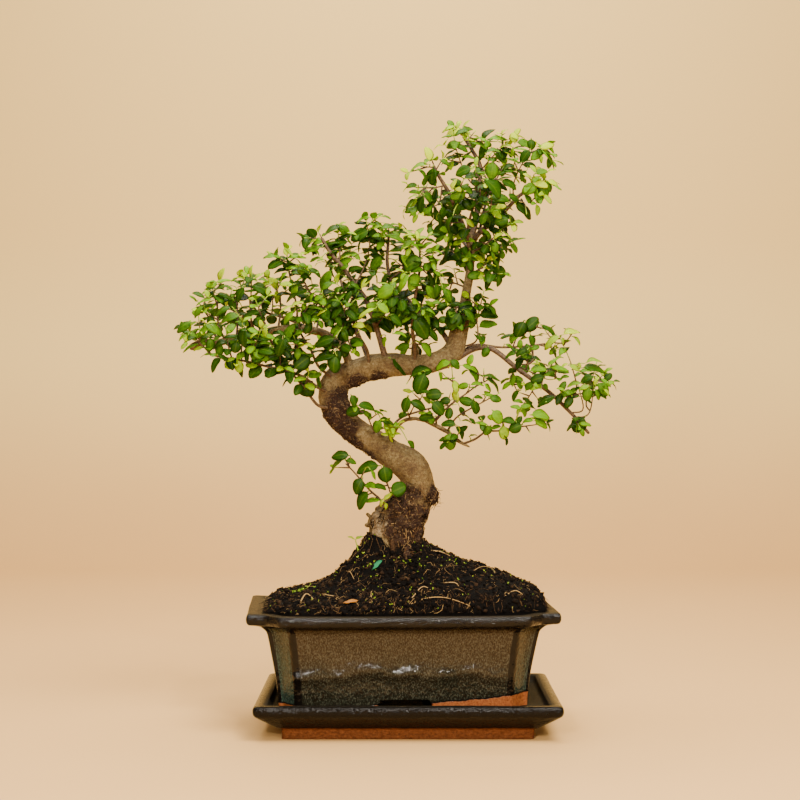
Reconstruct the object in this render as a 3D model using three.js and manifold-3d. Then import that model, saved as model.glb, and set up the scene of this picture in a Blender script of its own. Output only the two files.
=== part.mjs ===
// Privet bonsai in a glazed pot that stands on its saucer.
// Millimetres, +Z up, the front faces -Y. The origin is the centre of the saucer's flat underside.
import * as THREE from "three";
import { mergeVertices } from "three/addons/utils/BufferGeometryUtils.js";
import Module from "manifold-3d";

const wasm = await Module();
wasm.setup();

// Driving dimensions

const GAP = 0.3; // between pieces that rest on or stand in each other

// The tree is drawn as it is seen from straight in front, at this eye point.
const EYE = { x: -6.5, z: 270, distance: 1664 };

const SAUCER = {
  width: 245,
  depth: 200,
  height: 28.7,
  footWidth: 201,
  footDepth: 160,
  footHeight: 8.5,
  floor: 22.5,
  corner: 5,
};

const POT = {
  width: 250,
  depth: 188,
  height: 78,
  notchDeep: 14, // how far the corners stand behind the long faces
  notchFrom: 99, // half-length of a long face at the lip
  notchTo: 110,
  notchTaper: 0.9, // how much of an inset the notches follow
  corner: 3,
  yaw: THREE.MathUtils.degToRad(2.5),
  x: -5,
  footHeight: 8,
  archWidth: 42, // between the feet, front and back
  sideGap: 40, // between the feet, left and right
  archSlope: 2, // how far the side of a foot leans
  floorHeight: 16,
  drainRadius: 10,
  drainX: 46,
};

// The pot's wall as pairs of inset from the lip's outline and height above the pot's foot.
const POT_OUTSIDE = [
  [25, 0],
  [24.6, 8],
  [23, 22.5],
  [20.6, 37],
  [17.4, 54],
  [15.3, 62],
  [11, 67],
  [7, 69.2],
  [1, 69.7],
  [0, 71.5],
  [0, 76],
  [1.6, 78],
];
const POT_INSIDE = [
  [13, 78],
  [14.5, 75.5],
  [23.3, 61.5],
  [28.6, 37.5],
  [32, 16],
];

const MESH = { size: 30, thickness: 1.2, bars: 4, bar: 1.8 };

// The soil mound as pairs of share of the way from the trunk to the rim and height above the table.
const MOUND = [
  [0.97, 109],
  [0.86, 118],
  [0.62, 128],
  [0.4, 140],
  [0.18, 150],
];
const MOUND_CENTRE = { x: -12, y: 0 };

// The trunk's middle line from below the soil to the crown: x, z, depth and radius.
const TRUNK = [
  [-11, 116, 0, 15],
  [-11, 132, 0, 24],
  [-12, 147, 0, 27],
  [-12, 159, 0, 24.5],
  [-8, 171, 0, 22],
  [1, 183, -1, 18.5],
  [7, 194, -2, 14.5],
  [8, 204, -3, 13.9],
  [2, 215, -4, 14.4],
  [-14, 226, -4, 12.2],
  [-30, 237, -3, 11.1],
  [-48, 249, -1, 10.8],
  [-59, 262, 1, 11.8],
  [-63, 275, 3, 12.4],
  [-60, 287, 5, 12.2],
  [-49, 293, 5, 11],
  [-31, 299, 4, 11],
  [-13, 301, 2, 10.1],
  [7, 301, 0, 8.6],
  [25, 304, -1, 8.4],
  [38, 313, -1, 8.8],
  [43, 329, 0, 7.8],
  [48, 347, 0, 5.8],
  [49, 361, 0, 4],
  [52, 377, 0, 3.7],
  [53, 396, 0, 3.4],
  [53, 410, 0, 2.8],
];

// Roots that spread under the soil: direction in degrees, reach and radius.
const ROOTS = [
  [20, 38, 7],
  [95, 36, 7.5],
  [160, 36, 6.5],
  [215, 40, 8],
  [300, 38, 8],
];
const ROOT_FROM = [8, 152]; // distance from the trunk's axis and height above the table
const ROOT_OVER = [22, 143];
const ROOT_END = 126;
const BURL = { at: [-26, 169, -5], size: [11, 13, 14] };

// Limbs of the trunk, each from the trunk's middle line to its end: x, z and depth.
const LIMBS = {
  left: {
    radius: [3.4, 2.2],
    points: [
      [-47, 294, 0], [-54, 314, 3], [-67, 326, 4], [-86, 331, 4], [-109, 331, 2], [-130, 326, 0],
      [-146, 323, -3], [-160, 320, -5], [-173, 320, -6], [-182, 316, -6],
    ],
  },
  lowRight: {
    radius: [1.9, 1.5],
    points: [
      [-17, 236, -4], [-11, 246, -12], [-5, 253, -16], [4, 256, -20], [12, 255, -22], [22, 251, -24],
      [33, 245, -26], [43, 237, -28], [52, 232, -30],
    ],
  },
  stump: { radius: [3.6, 3], points: [[5, 301, 0], [6, 308, -2], [7, 314, -3]] },
  curl: { radius: [3.4, 1.4], points: [[8, 192, -2], [19, 194, -5], [26, 192, -8], [28, 187, -9]] },
};

const TWIG_RADIUS = 0.75;
const LEAF = {
  length: 13.6,
  spread: 1.4, // more or less length
  width: 0.7, // the rest are shares of the length, but for the thickness
  thick: 1.1,
  fold: 0.09,
  widest: 0.34,
  shoulder: 0.74, // where the blade is still this wide:
  shoulderWidth: 0.8,
  droop: 0.12,
  wave: 0.05,
};
const TIP_SPAN = 5; // a shoot turns into its last leaf this far before its end
const COLLAR = 3.5; // a shoot reaches its full thickness this far from its fork
const LEAN = THREE.MathUtils.degToRad(54); // between a leaf and its shoot
const SHORT_SHOOT = 15.5; // shorter shoots bear only the leaf at their tip
const LONG_SHOOT = 33; // longer ones bear a pair below it
const FORK_BACK = 0.5; // a shoot forks off this much of its distance below its nearest point
const FORK_STEPS = 60; // points tried along each stem
const STUB = { shortest: 2, longest: 16, step: 1.5, leaveOver: 4 };
const BARK_GAP = 0.9; // a stem starts at least this far from the bark
const BENDS = [0, 2.5, -2.5, 5, -5, 7.5, -7.5, 10, -10]; // sideways bends tried to keep a stem clear
const LEAF_TWISTS = [0, 25, -25, 50, -50, 75, -75].map(THREE.MathUtils.degToRad);
const TRUNK_SAMPLES = 400;
const PAIR_AT = 0.8; // share of the bare shoot where its leaves stand
const SOIL_SPAN = 85; // the longest stretch of the soil's outline without a point
const LUMPS = 1.5; // how far the mound rises and dips
const WELD = 1e-4; // corners closer than this are one
const SLIVER = 0.05; // edges shorter than this are closed up

// The leafy stems: the radius at the root, the stem from the middle of its limb outwards, and the
// shoots that fork off it, each listed to its tip. Points are x, z and depth.
const FOLIAGE = {
  left_1: {
    radius: 1.1,
    stem: [[-173, 320, -6], [-178, 327, -10]],
    shoots: [[[-189, 333, -14]], [[-176, 342, -4]]],
  },
  left_2: {
    radius: 1.1,
    stem: [[-160, 320, -5], [-165, 335, 2], [-170, 347, 6]],
    shoots: [[[-177, 355, 10]], [[-168, 362, 4]]],
  },
  left_3: {
    radius: 1.1,
    stem: [[-153, 321, -4], [-159, 334, -12], [-160, 356, -16]],
    shoots: [[[-165, 369, -20]], [[-154, 373, -12]]],
  },
  left_4: {
    radius: 1.1,
    stem: [[-144, 323, -3], [-143, 341, 8], [-144, 354, 12]],
    shoots: [[[-144, 366, 14]], [[-135, 377, 20]]],
  },
  left_5: {
    radius: 1.1,
    stem: [[-130, 326, 0], [-132, 343, -14], [-133, 357, -22]],
    shoots: [[[-131, 379, -28]], [[-141, 375, -30]]],
  },
  left_6: {
    radius: 1.1,
    stem: [[-109, 331, 2], [-107, 346, 4], [-107, 358, 4]],
    shoots: [[[-111, 370, 2]], [[-118, 378, 10]]],
  },
  left_7: {
    radius: 1.1,
    stem: [[-94, 331, 4], [-93, 346, -8], [-96, 363, -14], [-101, 383, -18]],
    shoots: [[[-102, 397, -18]], [[-114, 393, -12]]],
  },
  left_8: {
    radius: 1.1,
    stem: [[-120, 329, 1], [-123, 321, 14], [-126, 314, 26]],
    shoots: [[[-134, 312, 34]], [[-119, 309, 34]]],
  },
  left_9: {
    radius: 1.1,
    stem: [[-77, 329, 4], [-75, 341, 14], [-77, 352, 22]],
    shoots: [[[-84, 364, 28]], [[-72, 363, 24]]],
  },
  left_front: {
    radius: 1.5,
    stem: [[-65, 278, -4], [-75, 282, -12], [-88, 291, -22], [-98, 295, -30], [-119, 300, -42],
      [-135, 304, -48], [-152, 307, -54], [-165, 310, -58], [-171, 316, -60]],
    shoots: [[[-183, 328, -66]], [[-170, 335, -66]], [[-151, 318, -60], [-153, 332, -66]],
      [[-129, 314, -54], [-123, 332, -62]], [[-107, 310, -48], [-104, 325, -58]], [[-145, 302, -58]]],
  },
  left_rise: {
    radius: 1.4,
    stem: [[-65, 265, -6], [-75, 267, -12], [-87, 282, -20], [-102, 300, -26], [-111, 315, -30],
      [-118, 325, -34]],
    shoots: [[[-123, 341, -38]], [[-128, 356, -44]], [[-97, 312, -34], [-88, 318, -42]],
      [[-86, 285, -24], [-83, 295, -30]]],
  },
  left_back: {
    radius: 1.5,
    stem: [[-81, 331, 4], [-94, 337, 22], [-111, 343, 42], [-128, 346, 58], [-144, 342, 70]],
    shoots: [[[-151, 349, 76], [-161, 356, 80]], [[-148, 364, 78]], [[-114, 356, 50], [-123, 368, 58]],
      [[-139, 331, 80]]],
  },
  top_left: {
    radius: 1.4,
    stem: [[-61, 289, 0], [-75, 300, -18], [-82, 315, -28], [-91, 331, -36], [-89, 346, -42]],
    shoots: [[[-82, 354, -50]], [[-96, 353, -50]], [[-77, 337, -46]]],
  },
  middle: {
    radius: 2.8,
    stem: [[-18, 304, 0], [-21, 315, -3], [-27, 335, -5], [-35, 356, -5], [-44, 368, -5], [-50, 377, -6],
      [-55, 384, -8], [-64, 394, -10], [-72, 407, -11]],
    shoots: [[[-75, 413, -12]], [[-87, 408, -16]], [[-57, 396, -2], [-59, 415, 4]], [[-49, 410, 8]],
      [[-37, 383, 0], [-32, 402, 2], [-35, 424, 2]], [[-24, 426, 6]], [[-17, 348, -20], [-12, 363, -30]],
      [[-49, 358, -16], [-59, 369, -24]]],
  },
  middle_right: {
    radius: 2.4,
    stem: [[38, 314, 3], [27, 331, 8], [10, 344, 10], [0, 356, 10], [-13, 371, 5], [-17, 385, 5],
      [-16, 410, 2]],
    shoots: [[[-16, 418, 4]], [[-7, 415, -2]], [[-4, 383, 18], [-1, 413, 24]],
      [[15, 363, 22], [18, 381, 34]], [[24, 337, -4], [17, 356, -22]]],
  },
  middle_top: {
    radius: 1.1,
    stem: [[4, 304, 0], [4, 317, 8], [7, 327, 16]],
    shoots: [[[-1, 331, 22]], [[17, 317, 18]]],
  },
  middle_left: {
    radius: 1.6,
    stem: [[-32, 299, -2], [-35, 315, -13], [-48, 332, -22], [-66, 343, -32], [-77, 356, -38],
      [-87, 368, -42]],
    shoots: [[[-92, 381, -46]], [[-82, 379, -44]], [[-70, 349, -40], [-72, 364, -48]],
      [[-52, 341, -32], [-56, 354, -44]], [[-53, 320, -30], [-63, 312, -38]]],
  },
  middle_front: {
    radius: 1.7,
    stem: [[6, 304, -4], [6, 315, -12], [4, 331, -28], [6, 356, -42], [10, 381, -50], [10, 406, -54]],
    shoots: [[[4, 410, -60]], [[18, 410, -58]], [[17, 384, -54], [22, 397, -58]],
      [[-6, 356, -48], [-14, 368, -56]], [[14, 347, -50]]],
  },
  middle_back: {
    radius: 1.9,
    stem: [[-31, 299, 6], [-38, 318, 22], [-47, 341, 40], [-54, 363, 54], [-59, 383, 64]],
    shoots: [[[-60, 394, 70]], [[-51, 398, 70]], [[-59, 352, 52], [-72, 359, 62]],
      [[-42, 373, 62], [-33, 388, 70]], [[-30, 341, 44], [-17, 349, 56]]],
  },
  upper_1: {
    radius: 0.9,
    stem: [[45, 316, 0], [58, 322, -8], [57, 347, -10]],
    shoots: [[[64, 363, -14]], [[68, 351, -16]]],
  },
  upper_2: {
    radius: 1.1,
    stem: [[47, 353, -4], [41, 349, -12], [38, 346, -16]],
    shoots: [[[41, 337, -20]], [[33, 353, -24]]],
  },
  upper_3: {
    radius: 1.1,
    stem: [[50, 366, 2], [42, 369, 12], [37, 371, 16]],
    shoots: [[[31, 369, 20]], [[39, 381, 24]]],
  },
  upper_4: {
    radius: 1.1,
    stem: [[52, 376, -2], [59, 381, -12], [64, 383, -16]],
    shoots: [[[68, 374, -22]], [[68, 389, -20]]],
  },
  upper_5: {
    radius: 1.1,
    stem: [[52, 386, -2], [46, 394, -12], [42, 398, -16]],
    shoots: [[[32, 398, -22]], [[51, 391, -24]]],
  },
  upper_6: {
    radius: 1.1,
    stem: [[53, 396, 2], [63, 400, 12], [69, 401, 16]],
    shoots: [[[82, 400, 22]], [[90, 406, 26]]],
  },
  upper_7: {
    radius: 1.1,
    stem: [[53, 401, -2], [61, 405, -14], [65, 406, -18]],
    shoots: [[[70, 401, -26]], [[78, 413, -26]]],
  },
  upper_8: {
    radius: 1.1,
    stem: [[52, 381, 3], [56, 389, 18], [57, 394, 26]],
    shoots: [[[64, 401, 34]], [[47, 389, 34]]],
  },
  crown_left: {
    radius: 2.6,
    stem: [[52, 403, 0], [46, 419, -6], [40, 434, -12], [34, 447, -16], [25, 462, -22], [22, 468, -24]],
    shoots: [[[18, 479, -26]], [[11, 468, -30]], [[20, 450, -24], [2, 451, -30]], [[1, 463, -34]],
      [[25, 436, -20], [-1, 433, -26]]],
  },
  crown_middle: {
    radius: 2.8,
    stem: [[53, 406, 0], [57, 421, 4], [59, 436, 8], [60, 452, 10], [61, 468, 12], [54, 482, 13],
      [47, 493, 12]],
    shoots: [[[43, 501, 10]], [[57, 498, 18]], [[52, 456, 6], [41, 482, 2], [38, 500, 0]],
      [[31, 486, -6]], [[73, 478, 8], [90, 493, 8]], [[79, 495, 2]]],
  },
  crown_right: {
    radius: 2.4,
    stem: [[54, 404, 0], [61, 413, -4], [71, 421, -10], [83, 432, -18], [96, 445, -24], [112, 451, -31]],
    shoots: [[[122, 453, -34]], [[116, 462, -28]], [[89, 452, -14], [95, 468, -14], [106, 484, -12]],
      [[117, 485, -16]], [[122, 473, -20]], [[98, 437, -30], [100, 428, -36]]],
  },
  crown_back: {
    radius: 1.6,
    stem: [[52, 391, 2], [56, 403, 13], [61, 417, 24], [64, 431, 28], [68, 444, 42], [74, 458, 54]],
    shoots: [[[83, 472, 64]], [[69, 475, 64]], [[78, 435, 42], [89, 440, 56]], [[82, 426, 56]]],
  },
  crown_front: {
    radius: 1.6,
    stem: [[52, 388, -2], [51, 400, -14], [51, 418, -27], [56, 436, -38], [61, 450, -52]],
    shoots: [[[57, 467, -62]], [[69, 467, -64]], [[48, 442, -46], [40, 450, -56]],
      [[63, 429, -40], [73, 433, -52]]],
  },
  crown_rear: {
    radius: 1.5,
    stem: [[52, 398, 3], [42, 410, 20], [32, 421, 36], [22, 434, 50]],
    shoots: [[[10, 447, 60]], [[17, 454, 62]], [[32, 436, 48], [29, 448, 58]], [[19, 421, 56]]],
  },
  right: {
    radius: 2.6,
    stem: [[42, 307, 0], [54, 314, 0], [62, 316, -2], [70, 315, -4], [78, 310, -6], [84, 305, -8],
      [91, 299, -8], [102, 291, -10], [113, 283, -10], [124, 274, -8], [135, 263, -6], [141, 257, -4],
      [152, 244, 0]],
    shoots: [[[104, 304, 4], [105, 318, 6], [101, 334, 8]], [[93, 331, 14]], [[111, 337, 2]],
      [[141, 278, -12], [138, 300, -13], [128, 324, -12]], [[140, 330, -18]],
      [[116, 293, -18], [111, 301, -22]], [[124, 306, -22]], [[88, 294, -14], [85, 285, -18]],
      [[105, 280, 4], [95, 265, 14]], [[147, 263, -8], [143, 285, -8]], [[152, 260, 6], [157, 289, 8]],
      [[165, 294, 12]], [[171, 286, 8]], [[150, 268, 16], [159, 304, 24]], [[144, 297, 26]],
      [[130, 279, -26]], [[145, 248, -18]]],
  },
  right_back: {
    radius: 1.3,
    stem: [[44, 312, 2], [57, 318, 13], [78, 316, 22], [99, 317, 36], [115, 319, 52]],
    shoots: [[[128, 314, 60]], [[125, 327, 60]], [[91, 324, 30], [89, 332, 40]],
      [[106, 307, 46], [112, 299, 56]]],
  },
  low_twig: {
    radius: 1.1,
    stem: [[47, 235, -29], [57, 239, -34], [66, 245, -38], [78, 246, -42], [96, 251, -47]],
    shoots: [[[116, 251, -50]], [[112, 260, -46]], [[80, 251, -48], [74, 259, -52]], [[91, 255, -54]]],
  },
  low_rise: {
    radius: 1.1,
    stem: [[20, 252, -24], [31, 263, -26], [39, 270, -28], [49, 277, -28], [62, 287, -28]],
    shoots: [[[74, 292, -28]], [[64, 298, -24]], [[39, 275, -24], [37, 299, -18]], [[52, 297, -16]]],
  },
  low_1: {
    radius: 1.0,
    stem: [[33, 245, -26], [41, 257, -34], [57, 267, -40]],
    shoots: [[[78, 278, -46]], [[66, 275, -36]]],
  },
  low_2: {
    radius: 1.0,
    stem: [[2, 256, -20], [0, 262, -28]],
    shoots: [[[-5, 261, -34]], [[7, 270, -34]]],
  },
  low_3: {
    radius: 1.0,
    stem: [[24, 251, -24], [24, 258, -32]],
    shoots: [[[16, 261, -38]], [[32, 263, -38]]],
  },
  low_4: {
    radius: 1.0,
    stem: [[3, 300, -4], [5, 290, -10]],
    shoots: [[[12, 285, -14]], [[11, 295, -20]]],
  },
  low_5: {
    radius: 1.0,
    stem: [[41, 238, -28], [39, 240, -36]],
    shoots: [[[33, 236, -40]], [[44, 246, -42]]],
  },
  low_back: {
    radius: 1.3,
    stem: [[-18, 238, 3], [-8, 255, 24], [9, 262, 42], [29, 267, 58]],
    shoots: [[[41, 268, 64]], [[36, 278, 64]], [[10, 270, 50], [14, 279, 58]], [[20, 258, 54]]],
  },
  knee_1: {
    radius: 1.0,
    stem: [[-14, 233, -6], [-16, 243, -18]],
    shoots: [[[-17, 253, -24]], [[-24, 248, -26]]],
  },
  knee_2: {
    radius: 1.0,
    stem: [[-28, 238, -6], [-29, 251, -18]],
    shoots: [[[-37, 265, -24]], [[-23, 262, -26]]],
  },
  low_left: {
    radius: 1.2,
    stem: [[-7, 178, -6], [-19, 183, -19], [-24, 189, -23], [-31, 195, -26], [-39, 204, -30],
      [-46, 212, -33], [-52, 218, -35]],
    shoots: [[[-55, 227, -36]], [[-61, 215, -34]], [[-35, 214, -36]], [[-43, 201, -38]]],
  },
  low_burl: {
    radius: 1.0,
    stem: [[-5, 188, -5], [-14, 193, -17], [-17, 202, -21]],
    shoots: [[[-21, 210, -24]], [[-7, 198, -24]]],
  },
};

// The stems whose leaves are mostly young and light
const FRESH_STEMS = [
  "left_4", "left_7", "left_9", "left_rise", "top_left", "middle_front", "middle_top", "upper_4",
  "upper_6", "upper_8", "crown_left", "crown_front", "right", "low_twig", "low_1", "low_4", "low_left",
];

// On the soil: where each piece lies (x, y), which way its tip points, its length and its rise
const FALLEN_LEAF = { at: [-24, -33], towards: 25, length: 13, slope: 0.25 };
const DRY_LEAF = { at: [-50, -70], towards: 10, length: 13, slope: 0.1 };
const SEEDLING = { at: [-42, -4], height: 11, deep: 5, leaf: 7, leaves: [200, 20] };
const LOOSE_WAVES = [0.4, -0.4, -0.4, 0.4];
const COLUMN = 0.5; // the width of the column that reads the soil's height

// Shapes

// A seeded draw from 0 to 1, so that the tree grows the same way every time.
function drawFrom(seed) {
  let state = seed;
  return () => {
    state = (state * 1664525 + 1013904223) % 4294967296;
    return state / 4294967296;
  };
}

// A point given as x, z and depth, slid along the line of sight to its depth.
function seen([x, z, y]) {
  const nearer = 1 + y / EYE.distance;
  return new THREE.Vector3(EYE.x + (x - EYE.x) * nearer, y, EYE.z + (z - EYE.z) * nearer);
}

function curveThrough(points) {
  return new THREE.CatmullRomCurve3(points, false, "centripetal");
}

// A closed body through rings of equally many points, each ring anticlockwise about the way it goes.
// Each end is a cap or, where it is given, a point. A mirrored body is split alike above and below.
function ringStack(rings, { caps, root, tip, mirrored = false } = {}) {
  const count = rings[0].length;
  const last = (rings.length - 1) * count;
  const index = [];
  for (let k = 0; k < count; k++) {
    const next = (k + 1) % count;
    for (let ring = 0; ring < last; ring += count) {
      const [a, b, c, d] = [ring + k, ring + next, ring + next + count, ring + k + count];
      if (mirrored && k % 2) index.push(a, b, d, b, c, d);
      else index.push(a, b, c, a, c, d);
    }
    if (root) index.push(next, k, last + count);
    if (tip) index.push(last + k, last + next, last + count + (root ? 1 : 0));
  }
  const fan = Array.from({ length: count - 2 }, (_, k) => [0, k + 1, k + 2]);
  for (const [a, b, c] of caps ?? fan) {
    if (!root) index.push(a, c, b);
    if (!tip) index.push(last + a, last + b, last + c);
  }
  const points = [...rings.flat(), root, tip].filter(Boolean);
  const geometry = new THREE.BufferGeometry().setFromPoints(points);
  geometry.setIndex(index);
  return geometry;
}

// A closed tube along a stretch of a curve, with a radius for each share of the curve.
function tube(curve, { from = 0, to = 1, steps, sides, radius, flute = 0 }) {
  const rings = [];
  let side = new THREE.Vector3(0, 1, 0);
  for (let step = 0; step <= steps; step++) {
    const share = Math.min(1, from + ((to - from) * step) / steps);
    const centre = curve.getPointAt(share);
    const along = curve.getTangentAt(share);
    side = side.clone().addScaledVector(along, -side.dot(along)).normalize();
    const other = along.clone().cross(side);
    const ring = [];
    for (let k = 0; k < sides; k++) {
      const angle = (2 * Math.PI * k) / sides;
      const ridges = Math.sin(3 * angle + 9 * share) + 0.6 * Math.cos(5 * angle - 14 * share);
      const reach = radius(share) * (1 + flute * ridges);
      ring.push(
        centre
          .clone()
          .addScaledVector(side, reach * Math.cos(angle))
          .addScaledVector(other, reach * Math.sin(angle)),
      );
    }
    rings.push(ring);
  }
  return ringStack(rings);
}

const tapered = ([start, end]) => (share) => start + (end - start) * share;

// A rectangle with cut corners, anticlockwise from above.
function cutRectangle(halfWidth, halfDepth, corner, z) {
  const points = [];
  for (const [sx, sy] of [[1, -1], [1, 1], [-1, 1], [-1, -1]]) {
    const long = new THREE.Vector3(sx * (halfWidth - corner), sy * halfDepth, z);
    const short = new THREE.Vector3(sx * halfWidth, sy * (halfDepth - corner), z);
    const rounding = new THREE.Vector3(sx, sy, 0).multiplyScalar(corner * 0.2);
    const middle = long.clone().lerp(short, 0.5).add(rounding);
    points.push(...(sx * sy < 0 ? [long, middle, short] : [short, middle, long]));
  }
  return points;
}

// The pot's outline, a rectangle with stepped-in corners, at an inset from the lip.
function potOutline(inset, z) {
  const halfWidth = POT.width / 2 - inset;
  const halfDepth = POT.depth / 2 - inset;
  const cornerDepth = halfDepth - POT.notchDeep;
  const from = POT.notchFrom - POT.notchTaper * inset;
  const to = POT.notchTo - POT.notchTaper * inset;
  const points = [];
  for (const [sx, sy] of [[1, -1], [1, 1], [-1, 1], [-1, -1]]) {
    const run = [
      [from, halfDepth],
      [to, cornerDepth],
      [halfWidth - POT.corner, cornerDepth],
      [halfWidth, cornerDepth - POT.corner],
    ].map(([x, y]) => new THREE.Vector3(sx * x, sy * y, z));
    points.push(...(sx * sy < 0 ? run : run.reverse()));
  }
  return points;
}

function capOf(outline) {
  return THREE.ShapeUtils.triangulateShape(
    outline.map((point) => new THREE.Vector2(point.x, point.y)),
    [],
  );
}

// Solids

function solidOf(geometry) {
  const bare = new THREE.BufferGeometry().setAttribute("position", geometry.getAttribute("position"));
  bare.setIndex(geometry.getIndex());
  const merged = mergeVertices(bare, WELD);
  return new wasm.Manifold(
    new wasm.Mesh({
      numProp: 3,
      vertProperties: merged.getAttribute("position").array,
      triVerts: new Uint32Array(merged.getIndex().array),
    }),
  );
}

// The largest body of a solid as a geometry. A scrap that a cut leaves loose is dropped.
function geometryOf(solid) {
  const [body] = solid.simplify(SLIVER).decompose().sort((a, b) => b.volume() - a.volume());
  const mesh = body.getMesh();
  const geometry = new THREE.BufferGeometry();
  geometry.setAttribute("position", new THREE.BufferAttribute(mesh.vertProperties, 3));
  geometry.setIndex(new THREE.BufferAttribute(mesh.triVerts, 1));
  return geometry;
}

const joined = (solids) => wasm.Manifold.union(solids);

// Pieces that already stand, so that what grows later is bent clear of them.
const standing = [];

function stand(owner, solid, isLeaf = false) {
  standing.push({ owner, solid, isLeaf, box: solid.boundingBox() });
}

function boxesNear(a, b) {
  return [0, 1, 2].every((axis) => a.min[axis] - GAP < b.max[axis] && b.min[axis] - GAP < a.max[axis]);
}

// Whether a new piece keeps its gap to all other nodes and, if it is a leaf, to its node's other leaves.
function isClear(owner, solid, isLeaf = false) {
  const box = solid.boundingBox();
  return standing.every((other) => {
    if (other.owner === owner && !(isLeaf && other.isLeaf)) return true;
    if (!boxesNear(box, other.box)) return true;
    return solid.minGap(other.solid, 2 * GAP) > GAP * 0.9;
  });
}

// The saucer and the pot

function makeSaucer() {
  const halfWidth = SAUCER.width / 2;
  const halfDepth = SAUCER.depth / 2;
  const outside = [
    [SAUCER.footWidth / 2, SAUCER.footDepth / 2, 0],
    [SAUCER.footWidth / 2, SAUCER.footDepth / 2, SAUCER.footHeight],
    [SAUCER.footWidth / 2 + 5, SAUCER.footDepth / 2 + 3, SAUCER.footHeight + 0.5],
    [halfWidth - 1.5, halfDepth - 1.5, SAUCER.height - 8.5],
    [halfWidth, halfDepth, SAUCER.height - 6],
    [halfWidth, halfDepth, SAUCER.height - 2],
    [halfWidth - 1.7, halfDepth - 1.7, SAUCER.height],
  ];
  const inside = [
    [halfWidth - 10.5, halfDepth - 10.5, SAUCER.height],
    [halfWidth - 12.5, halfDepth - 12.5, SAUCER.floor + 1.5],
    [halfWidth - 14, halfDepth - 14, SAUCER.floor],
  ];
  const rings = [...outside, ...inside].map(([x, y, z]) => cutRectangle(x, y, SAUCER.corner, z));
  return ringStack(rings, { caps: capOf(rings[0]) });
}

// A straight channel with sloping sides under the pot, along X or along Y.
function footChannel(width, length, alongX) {
  const shape = new THREE.Shape([
    new THREE.Vector2(-width / 2 - POT.archSlope, -1),
    new THREE.Vector2(width / 2 + POT.archSlope, -1),
    new THREE.Vector2(width / 2 - POT.archSlope, POT.footHeight),
    new THREE.Vector2(-width / 2 + POT.archSlope, POT.footHeight),
  ]);
  const channel = new THREE.ExtrudeGeometry(shape, { depth: length, bevelEnabled: false });
  channel.translate(0, 0, -length / 2).rotateX(Math.PI / 2);
  return solidOf(alongX ? channel.rotateZ(Math.PI / 2) : channel);
}

function makePot() {
  const rings = [...POT_OUTSIDE, ...POT_INSIDE].map(([inset, z]) => potOutline(inset, z));
  let pot = solidOf(ringStack(rings, { caps: capOf(rings[0]) }));
  pot = pot.subtract(footChannel(POT.archWidth, POT.depth, false));
  pot = pot.subtract(footChannel(POT.sideGap, POT.width, true));
  for (const side of [-1, 1]) {
    const hole = new THREE.CylinderGeometry(POT.drainRadius, POT.drainRadius, POT.floorHeight * 2, 12);
    hole.rotateX(Math.PI / 2).translate(side * POT.drainX, 0, POT.floorHeight);
    pot = pot.subtract(solidOf(hole));
  }
  return geometryOf(pot);
}

// A square of plastic mesh that lies over a drain hole, its bars joined crosswise.
function makeDrainMesh() {
  const half = MESH.size / 2;
  const bars = [];
  for (let bar = 0; bar < MESH.bars; bar++) {
    const offset = -half + MESH.bar / 2 + (bar * (MESH.size - MESH.bar)) / (MESH.bars - 1);
    const across = new THREE.BoxGeometry(MESH.size, MESH.bar, MESH.thickness);
    const along = new THREE.BoxGeometry(MESH.bar, MESH.size, MESH.thickness);
    bars.push(across.translate(0, offset, MESH.thickness / 2));
    bars.push(along.translate(offset, 0, MESH.thickness / 2));
  }
  return geometryOf(joined(bars.map(solidOf)));
}

// The soil

// The soil's outline at an inset from the lip, with points added along its long sides.
function soilOutline(inset, z) {
  const lip = potOutline(0, 0);
  const corners = potOutline(inset, z);
  return corners.flatMap((point, k) => {
    const after = (k + 1) % corners.length;
    const cuts = Math.max(1, Math.round(lip[k].distanceTo(lip[after]) / SOIL_SPAN));
    return Array.from({ length: cuts }, (_, cut) => point.clone().lerp(corners[after], cut / cuts));
  });
}

// Soil in the pot's frame, with a plain hole where the trunk stands and a pocket for each mesh.
function makeSoil(potFrame) {
  const toPot = potFrame.clone().invert();
  const centre = new THREE.Vector3(MOUND_CENTRE.x, MOUND_CENTRE.y, 0).applyMatrix4(toPot);
  const [floor, ...walls] = [...POT_INSIDE].reverse();
  const sides = [[floor[0], floor[1] + GAP], ...walls].map(([inset, z]) => soilOutline(inset + GAP, z));
  const brim = soilOutline(POT_INSIDE[0][0] + 1, POT.height + GAP);
  const draw = drawFrom(7);
  const mound = MOUND.map(([share, height]) =>
    brim.map((point) => {
      const away = point.clone().sub(centre);
      const round = new THREE.Vector2(away.x / (POT.width / 2), away.y / (POT.depth / 2)).length();
      const rounding = THREE.MathUtils.lerp(1 / round, 1, share ** 4);
      const ring = centre.clone().addScaledVector(away, share * Math.min(1, rounding));
      ring.z = height - SAUCER.floor - GAP + LUMPS * (2 * draw() - 1);
      return ring;
    }),
  );
  const rings = [...sides, brim, ...mound];
  let soil = solidOf(ringStack(rings, { caps: capOf(rings[0]) }));
  for (const side of [-1, 1]) {
    const width = MESH.size + 2 * GAP;
    const pocket = new THREE.BoxGeometry(width, width, 2 * (MESH.thickness + GAP));
    pocket.translate(side * POT.drainX, 0, POT.floorHeight + GAP);
    soil = soil.subtract(solidOf(pocket));
  }
  return soil;
}

// The trunk and its limbs

const trunkCurve = curveThrough(TRUNK.map(seen));

// The trunk's radius at a share of its length, read between the listed points.
const trunkShares = TRUNK.map(([x, z, y]) => {
  const point = seen([x, z, y]);
  const away = trunkCurve.getSpacedPoints(TRUNK_SAMPLES).map((here) => here.distanceTo(point));
  return away.indexOf(Math.min(...away)) / TRUNK_SAMPLES;
});

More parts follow.
